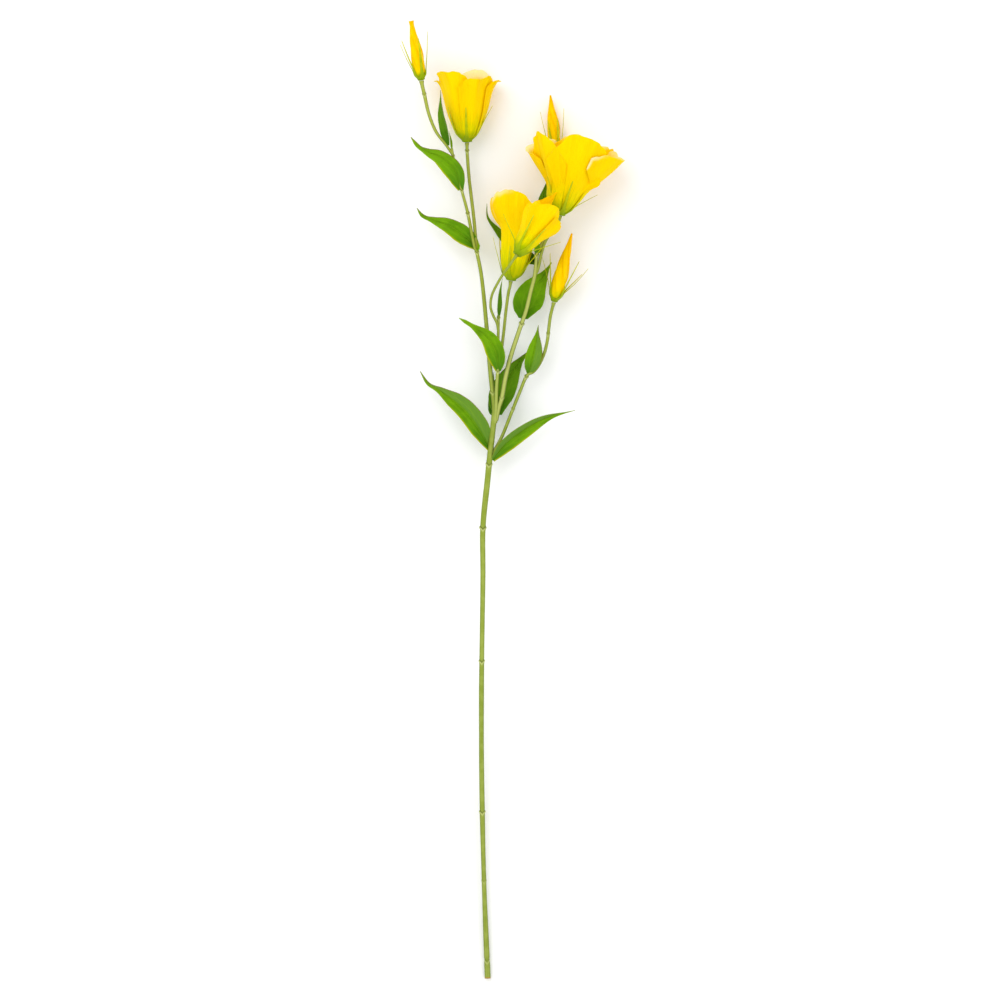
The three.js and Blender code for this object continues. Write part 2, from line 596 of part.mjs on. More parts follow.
function leafSurface( { rib, halfWidth, roll, fold, outline } ) {

	const curve = through( rib );
	const up = new THREE.Vector3( 0, 0, 1 );
	return ( across, along ) => {

		const at = THREE.MathUtils.clamp( along, 0, 1 );
		const tangent = curve.getTangentAt( at );
		const side = new THREE.Vector3().crossVectors( tangent, up ).normalize();
		side.applyAxisAngle( tangent, radians( THREE.MathUtils.lerp( roll[ 0 ], roll[ 1 ], at ) ) );
		const face = new THREE.Vector3().crossVectors( side, tangent );
		const reach = halfWidth * outlineAt( outline, at );
		return curve.getPointAt( at )
			.addScaledVector( tangent, ( along - at ) * curve.getLength() )
			.addScaledVector( side, across * reach * Math.cos( radians( fold ) ) )
			.addScaledVector( face, Math.abs( across ) * reach * Math.sin( radians( fold ) ) );

	};

}

function leafSolid( leaf ) {

	const columns = leaf.halfWidth > WIDE_LEAF_HALF_WIDTH ? 4 : 2;
	const rows = leaf.halfWidth > BRACT_HALF_WIDTH ? LEAF_ROWS : BRACT_ROWS;
	return sheet( leafSurface( leaf ), columns, rows, LEAF_THICKNESS );

}

// Blooms, in a frame of their own: Y runs up the axis, X to the side and Z to the front

function profileCurve( profile ) {

	const points = profile.map( ( [ height, radius ] ) => new THREE.Vector2( radius, height ) );
	return new THREE.SplineCurve( points );

}

function corollaRadius( profile, height ) {

	const above = profile.findIndex( ( [ level ] ) => level >= height );
	if ( above < 0 ) return profile.at( - 1 )[ 1 ];
	if ( above === 0 ) return profile[ 0 ][ 1 ];
	const [ lowHeight, lowRadius ] = profile[ above - 1 ];
	const [ highHeight, highRadius ] = profile[ above ];
	return THREE.MathUtils.mapLinear( height, lowHeight, highHeight, lowRadius, highRadius );

}

function coreRadius( profile, height ) {

	return corollaRadius( profile, height ) + CORE_MARGIN;

}

// A value at one place across a petal, on a smooth curve through the five that are given

function acrossPetal( values, across ) {

	const curve = new THREE.SplineCurve( values.map( ( value ) => new THREE.Vector2( value, 0 ) ) );
	return curve.getPoint( THREE.MathUtils.clamp( ( across + 1 ) / 2, 0, 1 ) ).x;

}

function petalSurface( { profile, depth, bow }, { turn, lift, flare } ) {

	const curve = profileCurve( profile );
	return ( across, along ) => {

		const angle = radians( turn + across * PETAL_HALF_ANGLE );
		const shorter = 1 - PETAL_ROUNDING * Math.abs( across ) ** PETAL_SHOULDER;
		const reach = THREE.MathUtils.lerp( PETAL_ROOT, shorter, along );
		const { x: radius, y: height } = curve.getPoint( THREE.MathUtils.clamp( reach, 0, 1 ) );
		const open = smooth( reach );
		const wave = RIM_WAVE * Math.sin( RIM_WAVES * angle ) * open ** 2;
		const out = radius + across * PETAL_OVERLAP + acrossPetal( flare, across ) * open + wave;
		const side = out * Math.cos( angle ) + bow * Math.sin( Math.PI * reach );
		const tall = 1 + open * ( acrossPetal( lift, across ) - 1 );
		const deep = 1 - ( 1 - depth ) * open;
		return new THREE.Vector3( side, height * tall, out * deep * Math.sin( angle ) );

	};

}

function corolla( bloom ) {

	const shoulder = coreRadius( bloom.profile, CORE_SHOULDER );
	const top = coreRadius( bloom.profile, CORE_TOP );
	const parts = [ turned( [ [ CORE_FOOT, 0 ], [ CORE_FOOT, CORE_FOOT_RADIUS ],
		[ CORE_SHOULDER, shoulder ], [ CORE_TOP, top ], [ CORE_TOP, 0 ] ] ) ];
	for ( const petal of bloom.petals ) {

		parts.push( sheet( petalSurface( bloom, petal ), PETAL_COLUMNS, PETAL_ROWS, PETAL_THICKNESS ) );

	}

	return fuse( parts );

}

// A sepal rises in the middle of the cup's wall and is free from the cup's shoulder up

function sepal( profile, clearance, floor, [ turn, length, splay, bend ] ) {

	const outwards = new THREE.Vector3( Math.cos( radians( turn ) ), 0, Math.sin( radians( turn ) ) );
	const stretch = length / SEPAL_STEPS;
	const place = new THREE.Vector2( corollaRadius( profile, CORE_SHOULDER ) + clearance, CORE_SHOULDER );
	const root = new THREE.Vector2( floor + CUP_WALL / 2, CUP_FLOOR ).lerp( place, 0.5 );
	const rings = [ sepalRing( root, outwards, Math.PI / 4, 0 ) ];
	for ( let step = 0; step <= SEPAL_STEPS; step ++ ) {

		const at = step / SEPAL_STEPS;
		const tilt = radians( splay + bend * at );
		rings.push( sepalRing( place, outwards, tilt, at ) );
		place.y += Math.cos( tilt ) * stretch;
		const clear = corollaRadius( profile, place.y ) + clearance;
		place.x = Math.max( place.x + Math.sin( tilt ) * stretch, clear );

	}

	return loft( rings );

}

function sepalRing( place, outwards, tilt, at ) {

	const center = outwards.clone().multiplyScalar( place.x ).setY( place.y );
	const tangent = outwards.clone().multiplyScalar( Math.sin( tilt ) ).setY( Math.cos( tilt ) );
	const halfWidth = SEPAL_WIDTH / 2 * ( 1 - SEPAL_TAPER * at ** 1.5 );
	const halfThickness = SEPAL_THICKNESS / 2 * ( 1 - SEPAL_THINNING * at );
	return ring( center, tangent, outwards, halfWidth, halfThickness, 4 );

}

function calyx( { profile, sepals }, spread, floor ) {

	const levels = [ CORE_SHOULDER, CUP_TOP ];
	const inside = levels.map( ( level ) => [ level, corollaRadius( profile, level ) + spread ] );
	const outside = inside.map( ( [ level, radius ] ) => [ level, radius + CUP_WALL ] );
	const outline = [ [ 0, 0 ], [ 0, floor ], ...outside, ...inside.reverse(), [ CUP_FLOOR, floor ],
		[ CUP_FLOOR, 0 ] ];
	const straps = sepals.map( ( entry ) => sepal( profile, spread + CUP_WALL / 2, floor, entry ) );
	return fuse( [ turned( outline ), ...straps ] );

}

// The pistil stands on the corolla's floor: ovary, style and a stigma of two lobes

function onFloor( outline ) {

	return turned( outline.map( ( [ height, radius ] ) => [ height + CORE_TOP + TOUCH_GAP, radius ] ) );

}

function pistil() {

	const lobes = [ - 1, 1 ].map( ( side ) => {

		const lobe = new THREE.SphereGeometry( 1, 6, 4 );
		lobe.scale( ...STIGMA_LOBE );
		lobe.translate( side * STIGMA_SPREAD, CORE_TOP + TOUCH_GAP + STIGMA_HEIGHT, 0 );
		return toSolid( lobe );

	} );
	return fuse( [ onFloor( PISTIL_OUTLINE ), ...lobes ] );

}

// The stamens grow from one collar round the pistil

function stamens() {

	const parts = [ onFloor( COLLAR_OUTLINE ) ];
	const up = new THREE.Vector3( 0, 1, 0 );
	for ( let number = 0; number < STAMEN_COUNT; number ++ ) {

		const angle = radians( ( number + 0.5 ) * 360 / STAMEN_COUNT );
		const outwards = new THREE.Vector3( Math.cos( angle ), 0, Math.sin( angle ) );
		const rings = STAMEN_STATIONS.map( ( [ height, radius, halfWidth, halfThickness ] ) => {

			const center = outwards.clone().multiplyScalar( radius ).setY( height + CORE_TOP + TOUCH_GAP );
			return ring( center, up, outwards, halfWidth, halfThickness, 3 );

		} );
		parts.push( loft( rings ) );

	}

	return fuse( parts );

}

// A bud is rolled: five petal edges wind up it as low ridges

function budCorolla( profile ) {

	const corners = 2 * BUD_RIDGES;
	const rings = profile.map( ( [ height, radius ], level ) => {

		return Array.from( { length: corners }, ( _, i ) => {

			const angle = - radians( level * BUD_WINDING + i * 360 / corners );
			const out = radius * ( i % 2 === 0 ? 1 : BUD_FURROW );
			return new THREE.Vector3( out * Math.cos( angle ), height, out * Math.sin( angle ) );

		} );

	} );
	return loft( rings );

}

// Assembly

const spray = new THREE.Group();
spray.name = 'lisianthus_spray';
spray.add( piece( 'stem', allStems( 0 ), FINISHES.stem ) );

const stemRoom = allStems( TOUCH_GAP );
for ( const [ name, leaf ] of Object.entries( LEAVES ) ) {

	spray.add( piece( name, leafSolid( leaf ).subtract( stemRoom ), FINISHES.leaf ) );

}

const petalRoom = CORE_MARGIN + PETAL_BULGE + TOUCH_GAP + FACET_ROOM;
const bloomFloor = CORE_FOOT_RADIUS + TOUCH_GAP + FACET_ROOM;
for ( const [ name, bloom ] of Object.entries( BLOOMS ) ) {

	const frame = flowerFrame( bloom );
	frame.add( piece( `bloom_${ name }_calyx`, calyx( bloom, petalRoom, bloomFloor ), FINISHES.sepal ) );
	frame.add( piece( `bloom_${ name }_corolla`, corolla( bloom ), FINISHES.petal ) );
	frame.add( piece( `bloom_${ name }_pistil`, pistil(), FINISHES.pistil ) );
	frame.add( piece( `bloom_${ name }_stamens`, stamens(), FINISHES.stamen ) );
	spray.add( frame );

}

const budRoom = TOUCH_GAP + FACET_ROOM;
const budFloor = BUD_FOOT_RADIUS + budRoom;
for ( const [ name, bud ] of Object.entries( BUDS ) ) {

	const frame = flowerFrame( bud );
	frame.add( piece( `bud_${ name }_calyx`, calyx( bud, budRoom, budFloor ), FINISHES.sepal ) );
	frame.add( piece( `bud_${ name }_corolla`, budCorolla( bud.profile ), FINISHES.bud ) );
	spray.add( frame );

}

export default spray;
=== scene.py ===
import math
import random

import bpy
import numpy as np
from mathutils import Matrix, Vector


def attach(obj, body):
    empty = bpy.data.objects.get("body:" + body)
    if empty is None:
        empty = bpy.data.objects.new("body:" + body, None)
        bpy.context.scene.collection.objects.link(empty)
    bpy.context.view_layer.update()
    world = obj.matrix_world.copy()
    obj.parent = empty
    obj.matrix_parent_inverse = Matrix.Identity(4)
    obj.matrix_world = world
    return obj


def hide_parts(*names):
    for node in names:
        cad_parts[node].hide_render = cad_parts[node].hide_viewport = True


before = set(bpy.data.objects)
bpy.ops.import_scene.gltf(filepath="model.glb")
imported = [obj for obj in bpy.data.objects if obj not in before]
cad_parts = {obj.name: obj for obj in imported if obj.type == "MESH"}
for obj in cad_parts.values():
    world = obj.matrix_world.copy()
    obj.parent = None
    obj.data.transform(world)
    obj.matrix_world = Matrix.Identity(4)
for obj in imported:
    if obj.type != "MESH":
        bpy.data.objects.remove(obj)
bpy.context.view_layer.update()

millimetre = 0.001
halfLength = 412
white = (1, 1, 1, 1)


def smooth(value):
    value = np.clip(value, 0, 1)
    return value * value * (3 - 2 * value)


def mixed(a, b, share):
    return a + (b - a) * share


def bell(away, width):
    return np.exp(-(away / width) ** 2)


def circle(count):
    return np.linspace(0, 2 * np.pi, count, endpoint=False)


def unit(vectors):
    return vectors / (np.linalg.norm(vectors, axis=-1, keepdims=True) + 1e-9)


def splinePoint(points, share, mirrorEnds):
    # a uniform Catmull-Rom curve, as the solids follow; its ends are mirrored for routes and
    # repeated for profiles
    points = np.asarray(points, float)
    before = 2 * points[0] - points[1] if mirrorEnds else points[0]
    after = 2 * points[-1] - points[-2] if mirrorEnds else points[-1]
    padded = np.vstack([before, points, after])
    place = np.clip(np.asarray(share, float), 0, 1) * (len(points) - 1)
    first = np.minimum(place.astype(int), len(points) - 2)
    part = (place - first)[..., None]
    p0, p1, p2, p3 = (padded[first + step] for step in range(4))
    v0, v1 = (p2 - p0) / 2, (p3 - p1) / 2
    return ((2 * p1 - 2 * p2 + v0 + v1) * part ** 3
            + (3 * p2 - 3 * p1 - 2 * v0 - v1) * part ** 2 + v0 * part + p1)


def evenRoute(points, count):
    # points at even distances along a route, with the route's length
    fine = splinePoint(points, np.linspace(0, 1, 900), True)
    steps = np.linalg.norm(np.diff(fine, axis=0), axis=1)
    far = np.concatenate([[0], np.cumsum(steps)])
    wanted = np.linspace(0, far[-1], count)
    return np.stack([np.interp(wanted, far, fine[:, axis]) for axis in range(3)], 1), far[-1]


def directions(route):
    return unit(np.gradient(route, axis=0))


def sheetNormal(middle):
    return unit(np.cross(np.gradient(middle, axis=1), np.gradient(middle, axis=0)))


def addObject(name, data):
    made = bpy.data.objects.new(name, data)
    bpy.context.scene.collection.objects.link(made)
    return made


def makeMesh(name, points, faces, masks, material):
    mesh = bpy.data.meshes.new(name)
    mesh.from_pydata((points * millimetre).tolist(), [], faces)
    for mask, values in masks.items():
        layer = mesh.attributes.new(mask, "FLOAT", "POINT")
        layer.data.foreach_set("value", np.asarray(values, np.float32).ravel())
    mesh.polygons.foreach_set("use_smooth", [True] * len(mesh.polygons))
    mesh.materials.append(material)
    mesh.validate()
    return addObject(name, mesh)


def gridFaces(rows, columns, start=0, around=False, flipped=False):
    wide = columns if around else columns + 1
    row, column = np.divmod(np.arange(rows * columns), columns)
    here, following = start + row * wide + column, start + row * wide + (column + 1) % wide
    faces = np.stack([here, following, following + wide, here + wide], 1)
    return (faces[:, ::-1] if flipped else faces).tolist()


def blade(name, middle, thickness, masks, material):
    # a closed thin sheet: a front, a back and a wall along the margin
    rows, columns = middle.shape[0] - 1, middle.shape[1] - 1
    half = sheetNormal(middle) * np.broadcast_to(thickness, middle.shape[:2])[..., None] / 2
    front, back = middle + half, middle - half
    count = (rows + 1) * (columns + 1)
    grid = np.arange(count).reshape(rows + 1, columns + 1)
    border = np.concatenate([grid[0, :-1], grid[:-1, -1], grid[-1, :0:-1], grid[:0:-1, 0]])
    following = np.roll(border, -1)
    walls = np.stack([following, border, border + count, following + count], 1).tolist()
    faces = gridFaces(rows, columns) + gridFaces(rows, columns, count, flipped=True) + walls
    points = np.vstack([front.reshape(-1, 3), back.reshape(-1, 3)])
    both = {mask: np.concatenate([np.broadcast_to(v, middle.shape[:2]).ravel()] * 2)
            for mask, v in masks.items()}
    both["inside"] = np.concatenate([np.zeros(count), np.ones(count)])
    return makeMesh(name, points, faces, both, material)


def tube(rings):
    # points and faces of rings joined round, with both ends closed to their middles
    rows, sides = rings.shape[0] - 1, rings.shape[1]
    points = np.vstack([rings.reshape(-1, 3), rings[0].mean(0), rings[-1].mean(0)])
    foot, tip = len(points) - 2, len(points) - 1
    faces = gridFaces(rows, sides, around=True)
    for side in range(sides):
        following = (side + 1) % sides
        faces.append([foot, following, side])
        faces.append([tip, rows * sides + side, rows * sides + following])
    return points, faces


def capped(values, foot=0.0, tip=0.0):
    # a mask for a tube: its rings' values, then those of its two end points
    return np.concatenate([np.ravel(values), [foot, tip]])


def joined(parts):
    # several (points, faces, masks) as one
    points, faces, masks, start = [], [], {}, 0
    for somePoints, someFaces, someMasks in parts:
        points.append(somePoints)
        faces += [[start + corner for corner in face] for face in someFaces]
        for mask, values in someMasks.items():
            masks.setdefault(mask, []).append(np.broadcast_to(values, len(somePoints)))
        start += len(somePoints)
    return np.vstack(points), faces, {mask: np.concatenate(v) for mask, v in masks.items()}


def settle(piece, node):
    # every piece rides on the one body, and stands for the solid that it covers
    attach(piece, "root")
    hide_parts(node)


def paint(red, green, blue):
    # a screen colour from 0 to 255, as linear light
    parts = [part / 255 for part in (red, green, blue)]
    return tuple(p / 12.92 if p <= 0.04045 else ((p + 0.055) / 1.055) ** 2.4 for p in parts) + (1,)


def addNode(tree, kind, inputs=None, **settings):
    made = tree.nodes.new("ShaderNode" + kind)
    for setting, value in settings.items():
        setattr(made, setting, value)
    for socket, value in (inputs or {}).items():
        if isinstance(value, bpy.types.NodeSocket):
            tree.links.new(value, made.inputs[socket])
        else:
            made.inputs[socket].default_value = value
    return made


def mask(tree, name):
    return addNode(tree, "Attribute", attribute_name=name).outputs["Fac"]


def blendColors(tree, share, first, second):
    return addNode(tree, "Mix", {0: share, 6: first, 7: second}, data_type="RGBA").outputs[2]


def calc(tree, operation, first, second=0.0):
    return addNode(tree, "Math", {0: first, 1: second}, operation=operation).outputs[0]


def remap(tree, value, low, high, toLow=0.0, toHigh=1.0):
    inputs = {"Value": value, "From Min": low, "From Max": high, "To Min": toLow, "To Max": toHigh}
    return addNode(tree, "MapRange", inputs, interpolation_type="SMOOTHSTEP").outputs["Result"]


def ramp(tree, value, stops):
    made = addNode(tree, "ValToRGB", {"Fac": value})
    elements = made.color_ramp.elements
    while len(elements) < len(stops):
        elements.new(0.5)
    for element, (place, color) in zip(elements, stops):
        element.position = place
        element.color = color
    return made.outputs["Color"]


def newGroup(name, inputs, outputs):
    # a node group with the named sockets and their values at first
    group = bpy.data.node_groups.new(name, "ShaderNodeTree")
    for way, sockets in (("INPUT", inputs), ("OUTPUT", outputs)):
        for title, value in sockets.items():
            kind = "NodeSocketColor" if isinstance(value, tuple) else "NodeSocketFloat"
            group.interface.new_socket(title, in_out=way, socket_type=kind).default_value = value
    given, out = group.nodes.new("NodeGroupInput").outputs, group.nodes.new("NodeGroupOutput").inputs
    return group, given, out


def placeGroup(tree, group, inputs):
    return addNode(tree, "Group", inputs, node_tree=group).outputs


def objectPlace(tree):
    return addNode(tree, "TexCoord").outputs["Object"]


def noise(tree, vector, scale, detail, roughness=0.5):
    inputs = {"Vector": vector, "Scale": scale, "Detail": detail, "Roughness": roughness}
    return addNode(tree, "TexNoise", inputs).outputs["Fac"]


def mottleGroup():
    # soft patches of a second colour, as living tissue has
    given = {"Color": white, "Patch Color": white, "Scale": 60.0, "Amount": 0.3}
    group, given, out = newGroup("Tissue mottle", given, {"Color": white})
    patches = remap(group, noise(group, objectPlace(group), given["Scale"], 3.0, 0.55), 0.38, 0.68)
    share = calc(group, "MULTIPLY", patches, given["Amount"])
    group.links.new(blendColors(group, share, given["Color"], given["Patch Color"]), out["Color"])
    return group


def veinGroup():
    # fine lines that run up a petal or a stem, wavering a little and fading in and out
    given = {"Across": 0.0, "Along": 0.0, "Lines": 30.0, "Waver": 0.05, "Sharpness": 3.0}
    group, given, out = newGroup("Long veins", given, {"Mask": 0.0, "Height": 0.0})
    place = addNode(group, "CombineXYZ", {"X": given["Across"], "Y": given["Along"]}).outputs[0]
    drift = calc(group, "SUBTRACT", noise(group, place, 3.0, 2.0), 0.5)
    moved = calc(group, "MULTIPLY", drift, given["Waver"])
    phase = calc(group, "MULTIPLY", calc(group, "ADD", given["Across"], moved), given["Lines"])
    line = calc(group, "ADD", calc(group, "MULTIPLY", calc(group, "SINE", phase), 0.5), 0.5)
    sharp = calc(group, "POWER", line, given["Sharpness"])
    shown = remap(group, noise(group, place, 9.0, 1.0), 0.35, 0.6)
    group.links.new(calc(group, "MULTIPLY", sharp, shown), out["Mask"])
    group.links.new(sharp, out["Height"])
    return group


def grainGroup():
    # the fine pebbled surface of petals and leaves, as a height
    given = {"Scale": 900.0, "Coarse Scale": 160.0}
    group, given, out = newGroup("Cell grain", given, {"Height": 0.0})
    place = objectPlace(group)
    fine, coarse = noise(group, place, given["Scale"], 2.0), noise(group, place, given["Coarse Scale"], 3.0)
    group.links.new(calc(group, "ADD", fine, coarse), out["Height"])
    return group


mottle, longVeins, cellGrain = mottleGroup(), veinGroup(), grainGroup()


def newMaterial(name, settings):
    material = bpy.data.materials.new(name)
    material.use_nodes = True
    skin = material.node_tree.nodes["Principled BSDF"]
    for socket, value in settings.items():
        skin.inputs[socket].default_value = value
    return material, material.node_tree, skin


def skinMaterial(name, look):
    # colours in a run from foot to tip, mottled, with the layers over them, and relief as bump
    material, tree, skin = newMaterial(name, dict(zip(shaderSockets, look["shader"])))
    colors = {title: paint(*color) for title, color in look["colors"].items()}
    along = mask(tree, "along")
    color = ramp(tree, along, [(place, colors[stop]) for place, stop in look["run"]])
    (scale, amount), (fine, coarse) = look["mottle"], look["grain"]
    color = placeGroup(tree, mottle, {"Color": color, "Patch Color": colors["patch"],
                                      "Scale": scale, "Amount": amount})["Color"]
    height = placeGroup(tree, cellGrain, {"Scale": fine, "Coarse Scale": coarse})["Height"]
    if "lines" in look:
        place = {"Across": mask(tree, "across"), "Along": along}
        lines = placeGroup(tree, longVeins, place | look["lines"])
        height = calc(tree, "ADD", calc(tree, "MULTIPLY", lines["Height"], look["relief"]), height)
    for parts, share, over in look["layers"]:
        if isinstance(share, tuple):
            share = remap(tree, along, *share)
        for part in parts.split():
            shown = lines["Mask"] if part == "lines" else mask(tree, part)
            share = calc(tree, "MULTIPLY", shown, share)
        color = blendColors(tree, share, color, colors[over])
    tree.links.new(color, skin.inputs["Base Color"])
    strength, depth = look["bump"]
    bump = addNode(tree, "Bump", {"Height": height, "Strength": strength, "Distance": depth})
    tree.links.new(bump.outputs["Normal"], skin.inputs["Normal"])
    return material


# A look: shader gives the first of shaderSockets; colours are 0 to 255; run is (place along,
# colour); mottle is (scale, share of the patch colour); grain is (fine, coarse) scales; bump is
# (strength, depth in metres); layers are (masks, share, colour) in order, where a share of four
# numbers runs along the piece: from, to, and its two values.

shaderSockets = ("Roughness", "Specular IOR Level", "Specular Tint", "Subsurface Weight",
                 "Subsurface Radius", "Subsurface Scale")
petalSheen, leafSheen = (1, 0.85, 0.1, 1), (0.8, 1, 0.3, 1)

petalLook = {
    "shader": (0.7, 0.12, petalSheen, 0.25, (1, 0.7, 0.08), 0.0016),
    "colors": {"foot": (158, 180, 2), "throat": (228, 218, 0), "waist": (250, 214, 0),
               "body": (252, 213, 0), "rim": (252, 215, 2), "fold": (252, 186, 0),
               "pale": (248, 232, 166), "vein": (246, 194, 0), "patch": (252, 204, 0)},
    "run": [(0.15, "foot"), (0.28, "throat"), (0.46, "waist"), (0.62, "body"), (1, "rim")],
    "mottle": (70, 0.35), "grain": (1100, 200), "bump": (0.25, 0.0004),
    "lines": {"Lines": 70, "Waver": 0.12}, "relief": 0.8,
    # the fold layer paints orange into creases, where petals overlap, and on bands set per petal: painted
    # shade
    "layers": [("lines", 0.12, "vein"), ("lines", (0.6, 0.2, 0, 0.9), "foot"), ("fold", 1, "fold"),
               # pale inside and the lip layer paint a pale cream highlight on inner rims and curled lips:
               # painted highlight
               ("green", 1, "foot"), ("pale inside", 1, "pale"), ("lip", 1, "pale")],
}

budLook = {
    "shader": (0.6, 0.12, petalSheen, 0.2, (1, 0.6, 0.06), 0.0016),
    "colors": {"foot": (186, 194, 4), "body": (254, 212, 0), "tip": (252, 190, 0),
               "edge": (250, 172, 0), "patch": (254, 220, 0)},
    "run": [(0.12, "foot"), (0.3, "body"), (1, "tip")],
    "mottle": (120, 0.5), "grain": (1100, 220), "bump": (0.25, 0.0004),
    "lines": {"Lines": 60}, "relief": 1,
    "layers": [("fold", (0.1, 0.9, 0.2, 0.9), "edge")],
}

leafLook = {
    "shader": (0.55, 0.18, leafSheen, 0.08, (0.3, 0.8, 0.1), 0.001),
    "colors": {"foot": (58, 118, 14), "blade": (104, 156, 4), "far": (116, 162, 8),
               "patch": (72, 122, 4), "vein": (132, 172, 30), "margin": (204, 196, 14),
               "brown": (112, 70, 30), "pale": (98, 138, 48), "shade": (46, 96, 12)},
    "run": [(0, "foot"), (0.36, "blade"), (1, "far")],
    "mottle": (75, 0.6), "grain": (800, 260), "bump": (0.3, 0.0003),
    "layers": [("pale", 0.8, "pale"), ("inside", 0.75, "pale"), ("vein", 0.6, "vein"),
               ("margin", 0.8, "margin"), ("brown", 1, "brown"), ("shade", 1, "shade")],
}

stemLook = {
    "shader": (0.5, 0.2),
    "colors": {"low": (124, 142, 34), "high": (136, 154, 44), "thin": (164, 172, 62),
               "patch": (172, 184, 90), "joint": (76, 86, 18), "ring": (206, 212, 136),
               "cut": (170, 140, 60), "pith": (214, 214, 150), "flankShade": (92, 108, 16),
               "light": (190, 196, 110)},
    "run": [(0, "low"), (0.6, "high"), (1, "thin")],
    "mottle": (140, 0.35), "grain": (700, 180), "bump": (0.25, 0.0004),
    "lines": {"Lines": 22, "Waver": 0.3, "Sharpness": 2}, "relief": 1,
    # the flank layer is painted shade on the sides and the light layer a painted highlight along the middle
    "layers": [("lines", 0.4, "patch"), ("light", 1, "light"), ("flankShade", 1, "flankShade"),
               ("ring", 0.8, "ring"), ("joint", 1, "joint"), ("cut", 1, "cut"), ("pith", 1, "pith")],
}

sepalLook = {
    "shader": (0.6, 0.08),
    "colors": {"foot": (132, 160, 6), "middle": (184, 192, 8), "tip": (210, 204, 24),
               "patch": (124, 150, 12), "keel": (206, 204, 50)},
    "run": [(0, "foot"), (0.35, "middle"), (1, "tip")],
    "mottle": (160, 0.4), "grain": (900, 300), "bump": (0.2, 0.0003),
    "layers": [("vein", 0.6, "keel")],
}

pistilLook = {
    "shader": (0.7, 0.2),
    "colors": {"low": (138, 160, 48), "high": (196, 200, 84), "patch": (196, 200, 84)},
    "run": [(0.35, "low"), (0.75, "high")], "mottle": (500, 0.5),
    "grain": (1600, 700), "bump": (0.5, 0.0004), "layers": [],
}
stamenLook = pistilLook | {
    "colors": {"low": (232, 226, 130), "high": (236, 176, 40), "patch": (250, 206, 90)}}

petalSkin = skinMaterial("petal skin", petalLook)
budSkin = skinMaterial("bud skin", budLook)
leafSkin = skinMaterial("leaf skin", leafLook)
stemSkin = skinMaterial("stem skin", stemLook)
calyxSkin = skinMaterial("calyx skin", sepalLook)
pistilSkin = skinMaterial("pistil skin", pistilLook)
stamenSkin = skinMaterial("stamen skin", stamenLook)
print("materials made")
